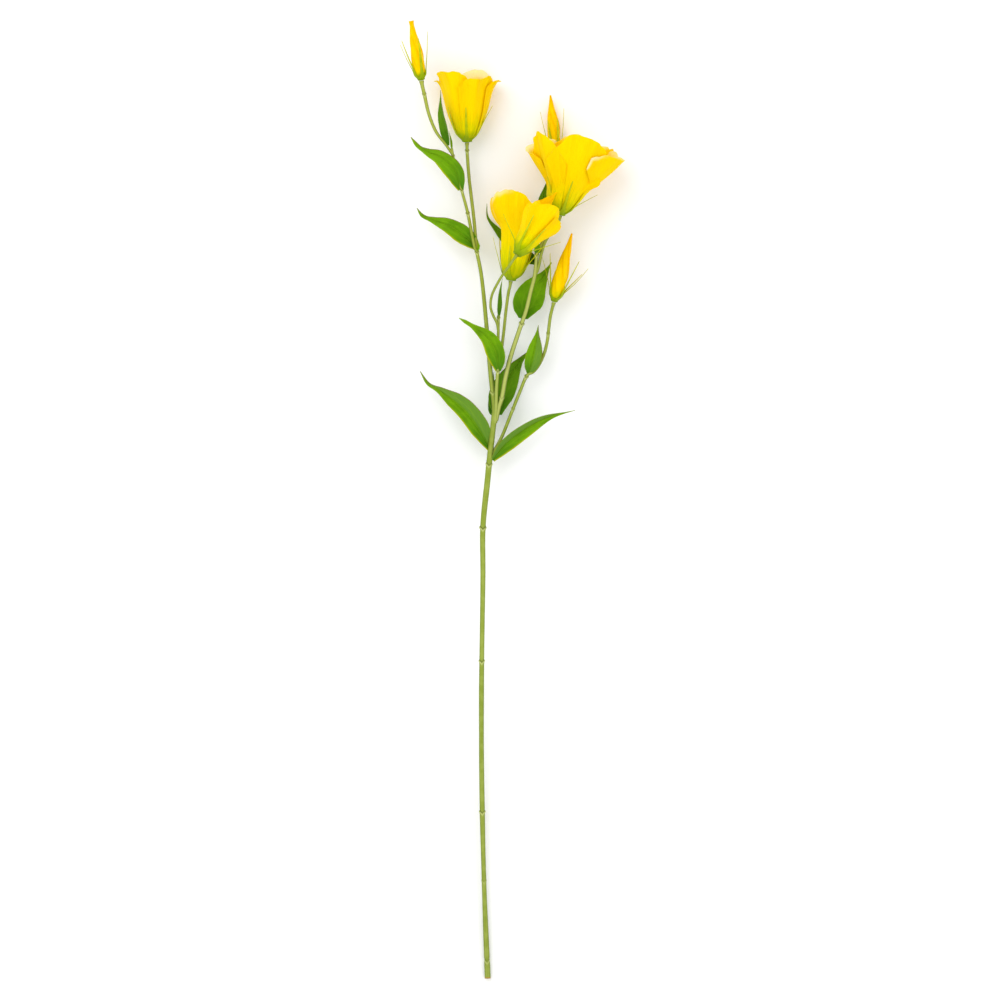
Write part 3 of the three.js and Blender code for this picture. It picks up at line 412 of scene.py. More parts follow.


# Each flower has its own frame, with Y up its axis, X to the side and Z to the front. A profile is
# (height, radius). A petal is its turn, its lift, flare and roll at five places from edge to edge,
# how strongly its inner rim is painted with a pale highlight, and at times more, such as a band of
# painted shade or a painted highlight on its curled lip. A sepal is (turn, length, splay, bend).

bloomShapes = {
    "left": {
        "base": (-38.3, 307.7, 18.4), "lean": -0.5, "rise": 5, "depth": 0.86, "bow": 0.3,
        "profile": [(1.7, 3.4), (6, 8.2), (10, 10.4), (18, 13.6), (27, 16.4), (36, 18.4),
                    (44, 20.6), (49.5, 23.4), (53.5, 26)],
        "petals": [
            (60, (1, 1.1, 1.04, 1.05, 1.04), (-0.4, 0, 0, 0, 0), (20, 20, 10, 0, 0), 0.15),
            (132, (1.12, 1.16, 1.16, 1.15, 1.08), (0, 0, 0, 0.3, 0.8), (0, 0, 0, 10, 30), 0.3),
            (204, (1.02, 1.04, 1, 1.02, 1.05), (0, 0.3, 0.2, 0, 0), (30, 45, 30, 20, 0), 0.8),
            (276, (0.98, 1.04, 1.14, 1.17, 1.1), (0, 0, 0.1, 0, 0), (0, 12, 14, 14, 10), 1),
            (348, (1.1, 1, 1.02, 1.02, 1.05), (0, 1, 3, 0.4, 0), (0, 40, 55, 20, 0), 0.1),
        ],
        "sepals": [(20, 30, 28, 4), (92, 26, 8, 0), (152, 26, 8, 0), (236, 26, 8, 0), (308, 26, 8, 0)],
    },
    "middle": {
        "base": (-0.6, 188.4, 24), "lean": 8.5, "rise": 3, "depth": 0.78, "bow": 1.4,
        "profile": [(1.7, 3.4), (6, 8), (14, 11.2), (25, 13.2), (40, 15), (46, 17),
                    (51, 21), (58, 25), (66, 26.8), (72, 26.4)],
        "petals": [
            (108, (0.96, 1.04, 1.08, 1.08, 1.02), (0, 0, 0, 1.4, 2.6), (10, 0, 0, 0, 10), 0.2,
             {"lip": (0.1, 0, 0, 0.7, 0.5)}),
            (180, (1.02, 0.98, 0.94, 0.96, 0.98), (1.8, 0.8, 0, 0, 0), (0, 0, 0, 0, 0), 0.5,
             {"blush": 0.35, "lip": (0.6, 0.4, 0.1, 0, 0)}),
            (252, (1.02, 1.06, 1.04, 0.98, 0.94), (1, 0.4, 0, 0, 0), (0, 10, 10, 0, 0), 1),
            (324, (0.96, 0.97, 0.95, 0.92, 0.9), (-1, -3, -4, -5, -6), (0, 0, 10, 0, 0), 0.5),
            (36, (0.9, 0.92, 0.94, 0.98, 0.98), (-6, -5, -3, -1.5, 0), (0, 0, 10, 0, 0), 0.2),
        ],
        "sepals": [(180, 32, 24, -2), (208, 30, 16, -2), (28, 31, 34, 0), (108, 26, 16, 0),
                   (262, 22, 12, 0)],
    },
    "front": {
        "base": (4.5, 209.5, 75), "lean": 35.5, "rise": -17, "depth": 0.72, "bow": 0,
        "profile": [(1.7, 3.2), (6, 6), (10, 7.7), (18, 9.5), (26, 11), (34, 13.8),
                    (42, 16.2), (48, 16.6), (52, 15.2)],
        "petals": [
            (84, (0.94, 1, 1, 0.97, 0.92), (0.4, 0.4, 0, 0, 0), (10, 0, 0, 0, 10), 0.1),
            (158, (0.94, 0.94, 0.9, 0.88, 0.88), (0, 0, 0, 0, 0), (0, 10, 10, 0, 0), 0.1),
            (240, (0.95, 1.13, 1.32, 1.16, 0.92), (-1, -3, -8, -5, -2), (0, 0, 0, 0, 0), 0,
             {"blush": 0.9}),
            (306, (0.94, 0.92, 0.88, 0.84, 0.8), (-2, -3, -4, -5, -4.4), (0, 0, 10, 0, 0), 0.3),
            (14, (0.78, 0.78, 0.82, 0.88, 0.94), (-2, -1, 0, 0.2, 0), (0, 10, 15, 10, 0), 0.1),
        ],
        "sepals": [(180, 30, 58, 0), (118, 30, 20, 0), (4, 32, 36, 0), (60, 26, 16, 0),
                   (270, 26, 14, 0)],
    },
    "right": {
        "base": (41.7, 244.3, 36), "lean": 13, "rise": 4, "depth": 0.6, "bow": 0.8,
        "profile": [(1.7, 3.4), (6, 8), (14, 12.6), (24, 17.4), (33, 24), (42, 31), (50, 36.6), (56, 40)],
        "petals": [
            (78, (1.1, 1.2, 1.27, 1.26, 0.92), (1, 0, 0, 0, 0), (20, 10, 0, 0, 10), 0.5,
             {"corner": 7.5}),
            (148, (0.92, 1.12, 1.19, 1.08, 0.84), (0, 0, 0.4, -3.2, -4.5), (0, 0, 0, 10, 20), 0.2,
             {"belly": 3}),
            (208, (0.9, 0.87, 0.98, 1.14, 1.12), (-4, 0, 1.5, 0.5, 0), (0, 30, 30, 10, 0), 0.8,
             {"belly": 3.4, "paleFrom": 0.84}),
            (282, (1.16, 1.22, 1.16, 1.2, 1.34), (0, 0, 0, 0, 0), (0, 10, 10, 10, 0), 0.7,
             {"paleFrom": 0.88, "blush": 0.5}),
            (17, (1.34, 1.1, 1.05, 1.1, 1.16), (0.6, 1.6, 2.4, 1.8, 0.6), (0, 10, 10, 20, 40), 0.5,
             {"waist": 0.3, "lip": (0.3, 0.3, 0.1, 0, 1)}),
        ],
        "sepals": [(80, 28, 16, 0), (2, 27, 46, 4), (142, 28, 26, 0), (214, 26, 22, 0), (286, 26, 18, 0)],
    },
}

budShapes = {
    "left": {
        "base": (-77.4, 360.1, 37), "lean": -9.9, "rise": 0,
        "profile": [(1.7, 2), (5, 4.4), (10, 5.2), (20, 5.6), (31, 4.6), (42, 2.9), (48, 2), (52, 2.4)],
        "sepals": [(180, 29, 22, -10), (148, 32, 18, -6), (10, 36, 16, -6), (70, 31, 14, -6),
                   (280, 33, 18, -6)],
    },
    "right": {
        "base": (38.3, 296.5, 6.2), "lean": -5.3, "rise": 0,
        "profile": [(1.7, 2), (5, 4.4), (12, 5.2), (22, 5.6), (30, 5), (40, 3), (47, 1.6), (52.4, 0.7)],
        "sepals": [(180, 34, 12, -6), (0, 35, 14, -8), (60, 26, 10, -4), (120, 26, 10, -4)],
    },
    "side": {
        "base": (36.5, 170.1, 24), "lean": 14.7, "rise": 0,
        "profile": [(1.7, 2), (6, 5), (14, 6.2), (24, 6.4), (34, 5.2), (45, 3.4), (54, 1.8), (61, 0.7)],
        "sepals": [(184, 40, 22, 12), (150, 36, 18, 0), (30, 35, 15, 0), (350, 34, 42, -20),
                   (326, 29, 38, -4)],
    },
}

petalForm = {
    "halfAngle": 50, "overlap": 1.2, "rounding": 0.2, "rimWave": 1.3, "rimWaves": 6,
    "rows": 70, "columns": 60, "thickness": 0.45, "rimThickness": 0.22, "rollStart": 0.86,
    "rollGain": 1.6, "pleatDepth": 0.13, "pleatWaves": (9, 13), "ruffleDepth": 0.5,
    "ruffleWaves": (11, 19, 29), "frill": 0.0352, "frillWaves": (5, 13, 23),
}
# a petal's values at first: no band of painted shade, a painted highlight on the inner rim from 0.76 up,
# none on the lip
plainPetal = {"waist": 1, "belly": 0, "corner": 0, "blush": 0, "paleFrom": 0.76, "lip": (0, 0, 0, 0, 0)}

cupForm = {"touchGap": 0.3, "shoulder": 4.5, "coreTop": 7.0, "height": 3.6, "wall": 0.5,
           "sides": 60, "ribs": 5, "ribDepth": 0.03}
sepalForm = {"width": 2.7, "tip": 0.9, "thickness": 0.8, "baseWidth": 6.2, "baseHeight": 4.4,
             "steps": 34, "sides": 12, "start": 0.8, "gap": 0.3}
heartForm = {
    "ovary": [(0, 1.2), (0.4, 1.8), (3, 2.5), (5, 2.5), (7, 2.1), (9, 1.3), (10, 1), (16, 0.85), (17, 0.5)],
    "collar": [(0, 3.2), (0, 4.5), (0.8, 4.5), (1.2, 3.9), (0.8, 3.2), (0.1, 3.15)],
    "lobeSize": (1.716, 2.2, 1.32), "lobeSide": 1.2, "lobeHeight": 17.5, "stamens": 5,
    "ovarySides": 24, "lobeSides": 20, "collarSides": 40, "filamentSides": 8, "antherSides": 14,
}


def inSpray(points, shape):
    turned = Matrix.Rotation(math.radians(-shape["lean"]), 4, "Z") @ Matrix.Rotation(
        math.radians(shape["rise"]), 4, "X")
    matrix = np.array(Matrix.Translation(Vector(shape["base"])) @ turned)
    return points @ matrix[:3, :3].T + matrix[:3, 3]


def profileAt(profile, height):
    heights, radii = zip(*profile)
    return np.interp(height, heights, radii)


def bending(middle):
    # how far each point lies behind its neighbours to left and right, in millimetres
    beside = (np.roll(middle, 3, 1) + np.roll(middle, -3, 1)) / 2 - middle
    bend = (beside * sheetNormal(middle)).sum(2)
    bend[:, :3] = bend[:, -3:] = 0
    return bend


def acrossPetal(values, across):
    # a value at the right edge, quarter, middle, quarter and left edge of a petal, made smooth
    return splinePoint(np.array(values, float)[:, None], (across + 1) / 2, False)[..., 0]


def petalSheet(shape, petal, draw):
    form = petalForm
    across = np.linspace(-1, 1, form["columns"] + 1)[None, :]
    along = np.linspace(0, 1, form["rows"] + 1)[:, None]
    shorter = 1 - form["rounding"] * np.abs(across) ** 2.6
    for waves in form["frillWaves"]:
        wave = np.sin(waves * across + draw.uniform(0, 6))
        shorter = shorter + form["frill"] / math.sqrt(waves) * wave
    reach = shorter * along
    points = splinePoint([(radius, height) for height, radius in shape["profile"]], reach, False)
    out, height = points[..., 0], points[..., 1]
    opened = smooth(reach)
    narrow = mixed(petal["waist"], 1, smooth((reach - 0.45) / 0.25))
    angle = np.radians(petal["turn"] + across * form["halfAngle"] * np.where(across > 0, narrow, 1))
    out = out + across * form["overlap"] * mixed(0.35, 1, smooth(reach / 0.6))
    out = out + acrossPetal(petal["flare"], across) * opened
    out = out + form["rimWave"] * np.sin(form["rimWaves"] * angle) * opened ** 2
    out = out + petal["belly"] * bell(height - 12, 9)
    corner = bell(reach - 0.54, 0.09) * smooth((-across - 0.72) / 0.28)
    out = out + petal["corner"] * corner
    for waves in form["pleatWaves"]:
        out = out + form["pleatDepth"] * np.sin(waves * across + draw.uniform(0, 6)) * opened
    for waves in form["ruffleWaves"]:
        ruffle = np.sin(waves * across + draw.uniform(0, 6)) * form["ruffleWaves"][0] / waves
        out = out + form["ruffleDepth"] * ruffle * opened ** 5
    height = height * (1 + opened * (acrossPetal(petal["lift"], across) - 1))
    # the rim rolls outwards: each short step up the petal is turned further than the last
    rolling = form["rollGain"] * smooth((reach - form["rollStart"]) / (1 - form["rollStart"]))
    turn = np.radians(acrossPetal(petal["roll"], across)) * rolling
    stepOut, stepUp = np.diff(out, axis=0), np.diff(height, axis=0)
    turn = (turn[1:] + turn[:-1]) / 2
    rolledOut = stepOut * np.cos(turn) + stepUp * np.sin(turn)
    rolledUp = stepUp * np.cos(turn) - stepOut * np.sin(turn)
    out, height = (np.cumsum(np.vstack([first[:1], steps]), axis=0)
                   for first, steps in ((out, rolledOut), (height, rolledUp)))
    deep = 1 - (1 - shape["depth"]) * opened
    side = out * np.cos(angle) + shape["bow"] * np.sin(np.pi * reach)
    middle = np.stack([side, height, out * deep * np.sin(angle)], 2)
    return middle[:, ::-1], reach[:, ::-1], np.broadcast_to(across, reach.shape)[:, ::-1]


def makePetals(name, shape, draw):
    for number, row in enumerate(shape["petals"]):
        petal = plainPetal | dict(zip(("turn", "lift", "flare", "roll", "pale"), row)) | dict(*row[5:])
        middle, reach, across = petalSheet(shape, petal, draw)
        wide = np.abs(across)
        up = np.linspace(0, 1, len(middle))[:, None]
        rib = bell(across, 0.16) + 0.7 * bell(wide - 0.5, 0.1)
        # painted shade near the side edges, where the next petal overlaps
        overlapShade = smooth((wide - 0.5) / 0.4) * smooth((reach - 0.3) / 0.25)
        # painted shade: an orange band set per petal, strongest part way up
        blush = petal["blush"] * bell(reach - 0.7, 0.3)
        margin = np.minimum(1 - up, (1 - wide) * 0.8 + 0.4 * smooth((0.7 - reach) / 0.12))
        # painted highlight along a curled lip, set per petal at five places from edge to edge
        lip = acrossPetal(petal["lip"], across) * smooth((0.08 - margin) / 0.06)
        masks = {
            "lip": np.clip(lip, 0, 1), "across": across, "along": reach,
            # the fold mask is painted shade: more where the sheet bends into a crease, where petals overlap
            # and on the band above
            "fold": np.clip(np.abs(bending(middle)) * 0.5 + 0.3 * overlapShade + blush, 0, 0.8),
            "green": np.clip(rib * smooth((0.42 - reach) / 0.3), 0, 1) * 0.6,
            # painted highlight: the inner face turns pale cream near the rim
            "pale": petal["pale"] * smooth((reach - petal["paleFrom"]) / 0.1),
        }
        edge = smooth(np.minimum(1 - wide, 1 - up) / 0.15)
        thickness = mixed(petalForm["rimThickness"], petalForm["thickness"], edge)
        piece = blade(f"{name}Petal{number + 1}", inSpray(middle, shape), thickness, masks, petalSkin)
        settle(piece, f"bloom_{name}_corolla")


def makeWhole(name, parts, shape, material, node):
    points, faces, masks = joined(parts)
    settle(makeMesh(name, inSpray(points, shape), faces, masks, material), node)


def latheRings(outline, sides, ribs=0, ribDepth=0.0):
    # rings round the axis, with low ribs where they are asked for
    angle = circle(sides)[None, :]
    height, radius = (np.array(column, float)[:, None] for column in zip(*outline))
    radius = radius * (1 + ribDepth * np.cos(ribs * angle) * np.minimum(radius / 4, 1))
    return np.stack([radius * np.cos(angle), height + 0 * angle, -radius * np.sin(angle)], 2)


def ovalRings(route, across, facing, halfWidth, halfDepth, sides):
    # half width and half depth are given for each ring, or for each of its points
    across, facing = (np.broadcast_to(way, route.shape)[:, None] for way in (across, facing))
    wide = halfWidth.reshape(len(route), -1) * np.cos(circle(sides))
    deep = halfDepth.reshape(len(route), -1) * np.sin(circle(sides))
    return route[:, None] + across * wide[..., None] + facing * deep[..., None]


def bearings(degrees):
    # the ways out from a flower's axis and round it, level with its foot
    cosine, sine = math.cos(math.radians(degrees)), math.sin(math.radians(degrees))
    return np.array([cosine, 0, sine]), np.array([-sine, 0, cosine])


def climbing(outwards, out, up):
    return outwards * out[:, None] + np.array([0, 1.0, 0]) * up[:, None]


def sepalPart(shape, sepal):
    # a strap: broad where it is fused to its neighbours, narrow and keeled where it is free
    turn, length, splay, bend = sepal
    form = sepalForm
    outwards, sideways = bearings(turn)
    clearance = form["gap"] + form["thickness"] / 2
    place = np.array([profileAt(shape["profile"], form["start"]) + clearance, form["start"]])
    stretch = (length + cupForm["shoulder"]) / form["steps"]
    path = []
    for step in range(form["steps"] + 1):
        path.append(place.copy())
        free = np.clip((place[1] - cupForm["shoulder"]) / 6, 0, 1)
        tilt = math.radians((splay + bend * step / form["steps"]) * free)
        place[1] += math.cos(tilt) * stretch
        clear = profileAt(shape["profile"], place[1]) + clearance
        place[0] = max(place[0] + math.sin(tilt) * stretch, clear)
    out, up = np.array(path).T
    share = np.linspace(0, 1, form["steps"] + 1)
    route = climbing(outwards, out, up)
    facing = np.cross(sideways, directions(route))
    base = smooth(1 - (up - form["start"]) / (form["baseHeight"] * 2))
    halfWidth = mixed(form["width"], form["tip"], share ** 1.4) / 2
    halfWidth = mixed(halfWidth, form["baseWidth"] / 2, base ** 1.5)
    halfWidth[-1] *= 0.3
    halfDepth = form["thickness"] / 2 * (1 - 0.55 * share)
    rings = ovalRings(route, sideways, facing, halfWidth, halfDepth, form["sides"])
    # its foot wraps round the cup
    angle = circle(form["sides"])
    hug = (halfWidth[:, None] * np.cos(angle)) ** 2 / (2 * out[:, None])
    rings = rings - outwards * hug[..., None]
    keel = np.tile(bell(angle - np.pi / 2, 0.5), len(route))
    along = capped(np.repeat(share, form["sides"]), 0, 1)
    return *tube(rings), {"along": along, "vein": capped(keel)}


def makeCalyx(name, node, shape):
    form = cupForm
    levels = np.linspace(0, form["height"], 9)
    inside = [(h, profileAt(shape["profile"], max(h, 1.7)) + form["touchGap"]) for h in levels]
    outside = [(h, r + form["wall"] * (1 - 0.6 * h / form["height"])) for h, r in inside]
    outside[0] = (0, outside[0][1] * 0.62)
    floor = [(0.9, inside[2][1] * 0.8), (0.9, inside[2][1] * 0.2)]
    outline = [(0, outside[0][1] * 0.4)] + outside + inside[:2:-1] + floor
    cup = tube(latheRings(outline, form["sides"], form["ribs"], form["ribDepth"]))
    height = np.repeat([h for h, _ in outline], form["sides"])
    parts = [(*cup, {"along": capped(height / 40), "vein": 0})]
    parts += [sepalPart(shape, sepal) for sepal in shape["sepals"]]
    makeWhole(name, parts, shape, calyxSkin, node)


def stamenParts(outwards, sideways, foot):
    share = np.linspace(0, 1, 12)
    route = climbing(outwards, 3.9 + 1.3 * share ** 1.5, foot + 0.4 + 12 * share)
    filament = ovalRings(route, sideways, outwards, 0.45 - 0.2 * share, 0.4 - 0.15 * share,
                         heartForm["filamentSides"])
    share = np.linspace(0, 1, 11)
    route = climbing(outwards, 5.3 + 0.5 * share, foot + 12.2 + 4.4 * share)
    plump = np.sqrt(np.clip(1 - (2 * share - 1) ** 2, 0.02, 1))
    sides = heartForm["antherSides"]
    anther = ovalRings(route, sideways, outwards, 1.1 * plump, 0.8 * plump, sides)
    waist = 1 + 0.28 * np.cos(2 * circle(sides))[None, :, None]
    anther = route[:, None] + (anther - route[:, None]) * waist
    return [(*tube(filament), {"along": 0.1}), (*tube(anther), {"along": 1.0})]


def makeHeart(name, shape):
    # the pistil, its two-lobed stigma, and the stamens round it
    form = heartForm
    foot = cupForm["coreTop"] + cupForm["touchGap"]
    ovary, collar = ([(h + foot, r) for h, r in form[part]] for part in ("ovary", "collar"))
    high = np.repeat([h / 20 for h, _ in form["ovary"]], form["ovarySides"])
    parts = [(*tube(latheRings(ovary, form["ovarySides"], 2, 0.04)), {"along": capped(high, 0, 1)})]
    lobe = [(height, math.sqrt(max(1 - height ** 2, 0.02))) for height in np.linspace(-0.98, 0.98, 11)]
    for side in (-1, 1):
        middle = np.array([side * form["lobeSide"], foot + form["lobeHeight"], 0])
        rings = latheRings(lobe, form["lobeSides"]) * np.array(form["lobeSize"]) + middle
        rings = rings + 0.12 * np.sin(rings[..., [1, 2, 0]] * 9)
        parts.append((*tube(rings), {"along": 1.0}))
    makeWhole(f"{name}Pistil", parts, shape, pistilSkin, f"bloom_{name}_pistil")
    parts = [(*tube(latheRings(collar, form["collarSides"])), {"along": 0.0})]
    for number in range(form["stamens"]):
        parts += stamenParts(*bearings((number + 0.5) * 360 / form["stamens"]), foot)
    makeWhole(f"{name}Stamens", parts, shape, stamenSkin, f"bloom_{name}_stamens")


for name, shape in bloomShapes.items():
    makePetals(name, shape, random.Random(11 + len(name)))
    makeCalyx(f"{name}Calyx", f"bloom_{name}_calyx", shape)
    makeHeart(name, shape)
print("blooms made")

budForm = {"petals": 5, "windPerMillimetre": 3.1, "step": 0.2, "rows": 90, "sides": 120}


def makeBud(name, shape):
    # five petals rolled round each other, each edge standing a little proud of the next petal
    form = budForm
    share = np.linspace(0, 1, form["rows"] + 1)
    points = splinePoint([(radius, height) for height, radius in shape["profile"]], share, False)
    radius, height = points[:, :1], points[:, 1:]
    angle = circle(form["sides"])[None, :]
    turned = (angle / (2 * np.pi) * form["petals"] + height * form["windPerMillimetre"] / 72) % 1
    step = form["step"] * (1 - turned) * np.clip(turned / 0.08, 0, 1)
    out = radius * (0.84 + step) + 0.05 * np.sin(11 * angle + height * 0.3)
    rings = np.stack([out * np.cos(angle), height + 0 * angle, -out * np.sin(angle)], 2)
    fold = np.clip(0.7 - np.abs(turned - 0.02) * 6, 0, 0.7) + np.clip(turned * 2 - 1.4, 0, 0.3)
    masks = {"across": capped(turned * 2 - 1), "along": capped(np.repeat(share, form["sides"]), 0, 1),
             "fold": capped(fold, 0, 0.5)}
    makeWhole(f"{name}BudPetals", [(*tube(rings), masks)], shape, budSkin, f"bud_{name}_corolla")
    makeCalyx(f"{name}BudCalyx", f"bud_{name}_calyx", shape)


for name, shape in budShapes.items():
    makeBud(name, shape)
print("buds made")


# A stem has a route, radii from foot to tip, joints as (place along, extra radius), how dark the
# painted shade on its flanks is, and how light the painted highlight along the middle of its skin is.

stemShapes = {
    "main": {
        "route": [(-20.5, -412.6, 2.6), (-23.7, -328, 6.2), (-25.6, -240, 10.3), (-25.8, -160, 13.8),
                  (-24.6, -68.6, 17.7), (-24.6, -24.3, 19.6), (-20.6, 17, 21.4), (-18.7, 36.2, 22.2),
                  (-14.2, 77.2, 24)],
        "radii": (2.5, 2.3, 1.95, 1.95, 2.2, 2.15, 2.05, 2.2, 2.05, 2.05, 2.2, 2.35, 2.6, 2.55, 2.5),
        "joints": [(0.032, -0.3), (0.173, 0.2), (0.294, 0.5), (0.559, 0.5), (0.793, 0.8), (0.905, 0.4)],
        "flankShade": 0.4,
    },
    "left": {
        "route": [(-14.8, 68, 24), (-15.1, 82.9, 24.6), (-17.8, 106.2, 25), (-21.1, 145.1, 25.2),
                  (-25.4, 189, 25.6), (-30.1, 214.8, 26)],
        "radii": (2.1, 1.5), "joints": [(0.17, 0.3), (0.99, 0.5)],
    },
    "leftBloom": {
        "route": [(-30, 213.8, 26), (-32.4, 242, 22.6), (-36.3, 275, 18.8), (-37.9, 295, 17.5)],
        "carries": bloomShapes["left"], "radii": (1.4, 1.4), "joints": [(0.93, 0.5)],
    },
    "leftTop": {
        "route": [(-30.1, 214, 26.2), (-32.4, 220.1, 27), (-37.9, 247.6, 29), (-43.4, 268.1, 30.5),
                  (-49.5, 292.2, 32.5), (-51.4, 302, 33.3)],
        "radii": (1.4, 1.1), "joints": [(0.37, 0.5), (0.6, 0.5), (0.93, 0.4)],
    },
    "leftBud": {
        "route": [(-50.2, 296, 32.8), (-56.4, 305.1, 34), (-64.9, 316.3, 35.5), (-71, 331.4, 36.5),
                  (-74.8, 347.8, 37)],
        "carries": budShapes["left"], "radii": (1.1, 1.6), "joints": [(0.84, 0.3)],
    },
    "middle": {
        "route": [(-14.2, 66, 24), (-13.3, 80.2, 26.3), (-12.8, 96.6, 28.2), (-11.6, 112.4, 29.5)],
        # light sets the painted highlight along this stem's middle
        "radii": (1.9, 1.5), "joints": [(0.97, 0.5)], "light": 0.3,
    },
    "middleTop": {
        "route": [(-11.6, 111, 29.4), (-11.6, 125, 30.3), (-11.4, 142.5, 31.2), (-11.1, 158.6, 32)],
        "radii": (1.2, 1.2), "joints": [(0.96, 0.4)],
    },
    "middleBloom": {
        "route": [(-11.4, 111, 29.2), (-7.3, 139.1, 27.2), (-4.7, 163, 24.6), (-2.6, 178, 23.4)],
        "carries": bloomShapes["middle"], "radii": (1.3, 1.3),
    },
    "frontBloom": {
        "route": [(-11.5, 146, 31.4), (-12.6, 152, 33.5), (-15.9, 158.6, 38.5), (-18, 166, 45.5),
                  (-16.9, 175.1, 55), (-12.6, 184.2, 65), (-7.1, 193.3, 73), (-2.4, 199.6, 76.6)],
        "carries": bloomShapes["front"], "radii": (1.1, 1.1),
    },
    "right": {
        "route": [(-13.6, 68, 23.6), (-11.2, 79, 25), (-8.4, 87.8, 26), (-5.2, 104.9, 27.6),
                  (-0.8, 122.9, 28.8), (5.8, 143.2, 29.8), (8.5, 151, 30.2), (12.7, 163, 30.6),
                  (16.3, 178.1, 31), (20, 193.3, 31.2), (21.9, 213.1, 31)],
        # light sets the painted highlight along this stem's middle
        "radii": (2.1, 1.6), "joints": [(0.14, 0.2), (0.58, 0.7), (0.985, 0.5)], "light": 0.6,
    },
    "rightBloom": {
        "route": [(19.5, 190.5, 31.2), (23, 199.3, 31.8), (25.6, 211.3, 32.6), (29.4, 222.7, 33.6),
                  (35.5, 231, 34.8)],
        "carries": bloomShapes["right"], "radii": (1.2, 1.4),
    },
    "rightBud": {
        "route": [(21.6, 210.5, 31), (25.4, 219, 26.6), (29.5, 228.5, 20.5), (32.6, 240, 15),
                  (34, 256, 10.6), (36.4, 276, 7.6), (37.8, 286, 6.4)],
        "carries": budShapes["right"], "radii": (1.2, 1.5),
    },
    "side": {
        "route": [(-18.2, 33, 22), (-15.6, 40.5, 21.8), (-8, 54.9, 21.2), (1.3, 78.2, 21),
                  (6.9, 92.2, 21), (13, 106.4, 21), (18.4, 109.9, 21), (22.3, 114.2, 21),
                  (25.5, 119.7, 21.3), (28.8, 127.9, 21.8), (31, 137.7, 22.4), (31.6, 143.2, 22.8),
                  (33.3, 157, 23.6)],
        "carries": budShapes["side"], "radii": (1.4, 1.4),
        "joints": [(0.33, 0.3), (0.53, 0.6), (0.82, 0.3)],
    },
}

# flanks get painted shade and the middle no painted highlight, unless a stem sets its own
plainStem = {"joints": [], "flankShade": 0.75, "light": 0.0}
stemForm = {"sides": 28, "step": 0.8, "seat": 5.0, "jointLength": 2.4, "notchRise": 2.6,
            "notchWidth": 0.6, "notchDepth": 0.3, "ringWidth": 0.9, "ringHeight": 0.2,
            "ridges": 4, "ridgeDepth": 0.03, "collar": 0.5, "collarLength": 2.2,
            "cutRings": [(0.4, 0.7), (0.8, 0.5), (0.86, 0.0)]}


def makeStem(name, shape):
    form = stemForm
    shape = plainStem | shape
    route = [list(point) for point in shape["route"]]
    if "carries" in shape:
        seats = np.array([[0, -form["seat"], 0], [0, -cupForm["touchGap"], 0]])
        route += inSpray(seats, shape["carries"]).tolist()
    line, length = evenRoute(route, int(evenRoute(route, 2)[1] / form["step"]) + 1)
    tangent = directions(line)
    width = unit(np.cross(tangent, [0, 0, 1]))
    height = np.cross(width, tangent)
    share = np.linspace(0, 1, len(line))[:, None]
    angle = circle(form["sides"])[None, :]
    radius = np.interp(share, np.linspace(0, 1, len(shape["radii"])), shape["radii"])
    radius = radius * (1 + form["ridgeDepth"] * np.cos(form["ridges"] * angle + 2 * share))
    blank = np.zeros(radius.shape)
    masks = {"joint": blank, "ring": blank, "cut": blank, "pith": blank}
    for place, extra in shape["joints"]:
        away = (share - place) * length
        radius = radius + extra * np.exp(-3 * (away / form["jointLength"]) ** 2)
        # the scar is a V on the face that is seen: lowest in the middle of that face
        lowered = away - form["notchRise"] * (np.abs(np.cos(angle)) - 0.5)
        strength = min(abs(extra) * 2, 1)
        notch = strength * bell(lowered, form["notchWidth"])
        ring = strength * bell(lowered + 1.5, form["ringWidth"])
        masks["joint"] = np.maximum(masks["joint"], notch)
        masks["ring"] = np.maximum(masks["ring"], ring)
    radius = radius - form["notchDepth"] * masks["joint"] + form["ringHeight"] * masks["ring"]
    if "carries" in shape:
        radius = radius + form["collar"] * bell((1 - share) * length, form["collarLength"])
    rings = ovalRings(line, width, height, radius, radius, form["sides"])
    if name == "main":
        # the cut end: a thin rim of bark round a slightly hollow pith
        sunk = [line[0] + (rings[0] - line[0]) * size + tangent[0] * depth
                for size, depth in form["cutRings"]]
        rings = np.concatenate([sunk, rings])
        masks = {mask: np.vstack([blank[:len(sunk)], values]) for mask, values in masks.items()}
        masks["cut"][1:5] = 1
        masks["pith"][:2] = 1
    points, faces = tube(rings)
    masks = {mask: capped(values, values[0, 0] * (mask == "pith")) for mask, values in masks.items()}
    around = np.tile(angle, (len(rings), 1))
    masks["along"] = np.clip((points[:, 1] / halfLength + 1) / 2, 0, 1)
    masks["across"] = capped(np.sin(around))
    # painted shade: both flanks, as seen from above, are darkened
    masks["flankShade"] = capped(shape["flankShade"] * smooth((np.abs(np.cos(around)) - 0.5) / 0.5))
    # painted highlight: the middle of the skin, between the shaded flanks, is lightened
    masks["light"] = shape["light"] * (1 - masks["flankShade"])
    return points, faces, masks


stems = [makeStem(name, shape) for name, shape in stemShapes.items()]
points, faces, masks = joined(stems)
settle(makeMesh("stems", points, faces, masks, stemSkin), "stem")
print("stems made")


# A leaf has a rib from foot to tip, a half width, its roll at foot and tip, a fold along the rib,
# the side of its paler blade, yellow margin and brown one, and how deep it lies in shade.

plainOutline = [0.3, 0.72, 0.94, 1, 0.93, 0.76, 0.52, 0.27, 0.1, 0.02]
dripOutline = [0.3, 0.74, 0.97, 1, 0.86, 0.66, 0.42, 0.22, 0.2, 0.02]
hookOutline = [0.3, 0.74, 0.97, 1, 0.94, 0.78, 0.46, 0.2, 0.14, 0.02]

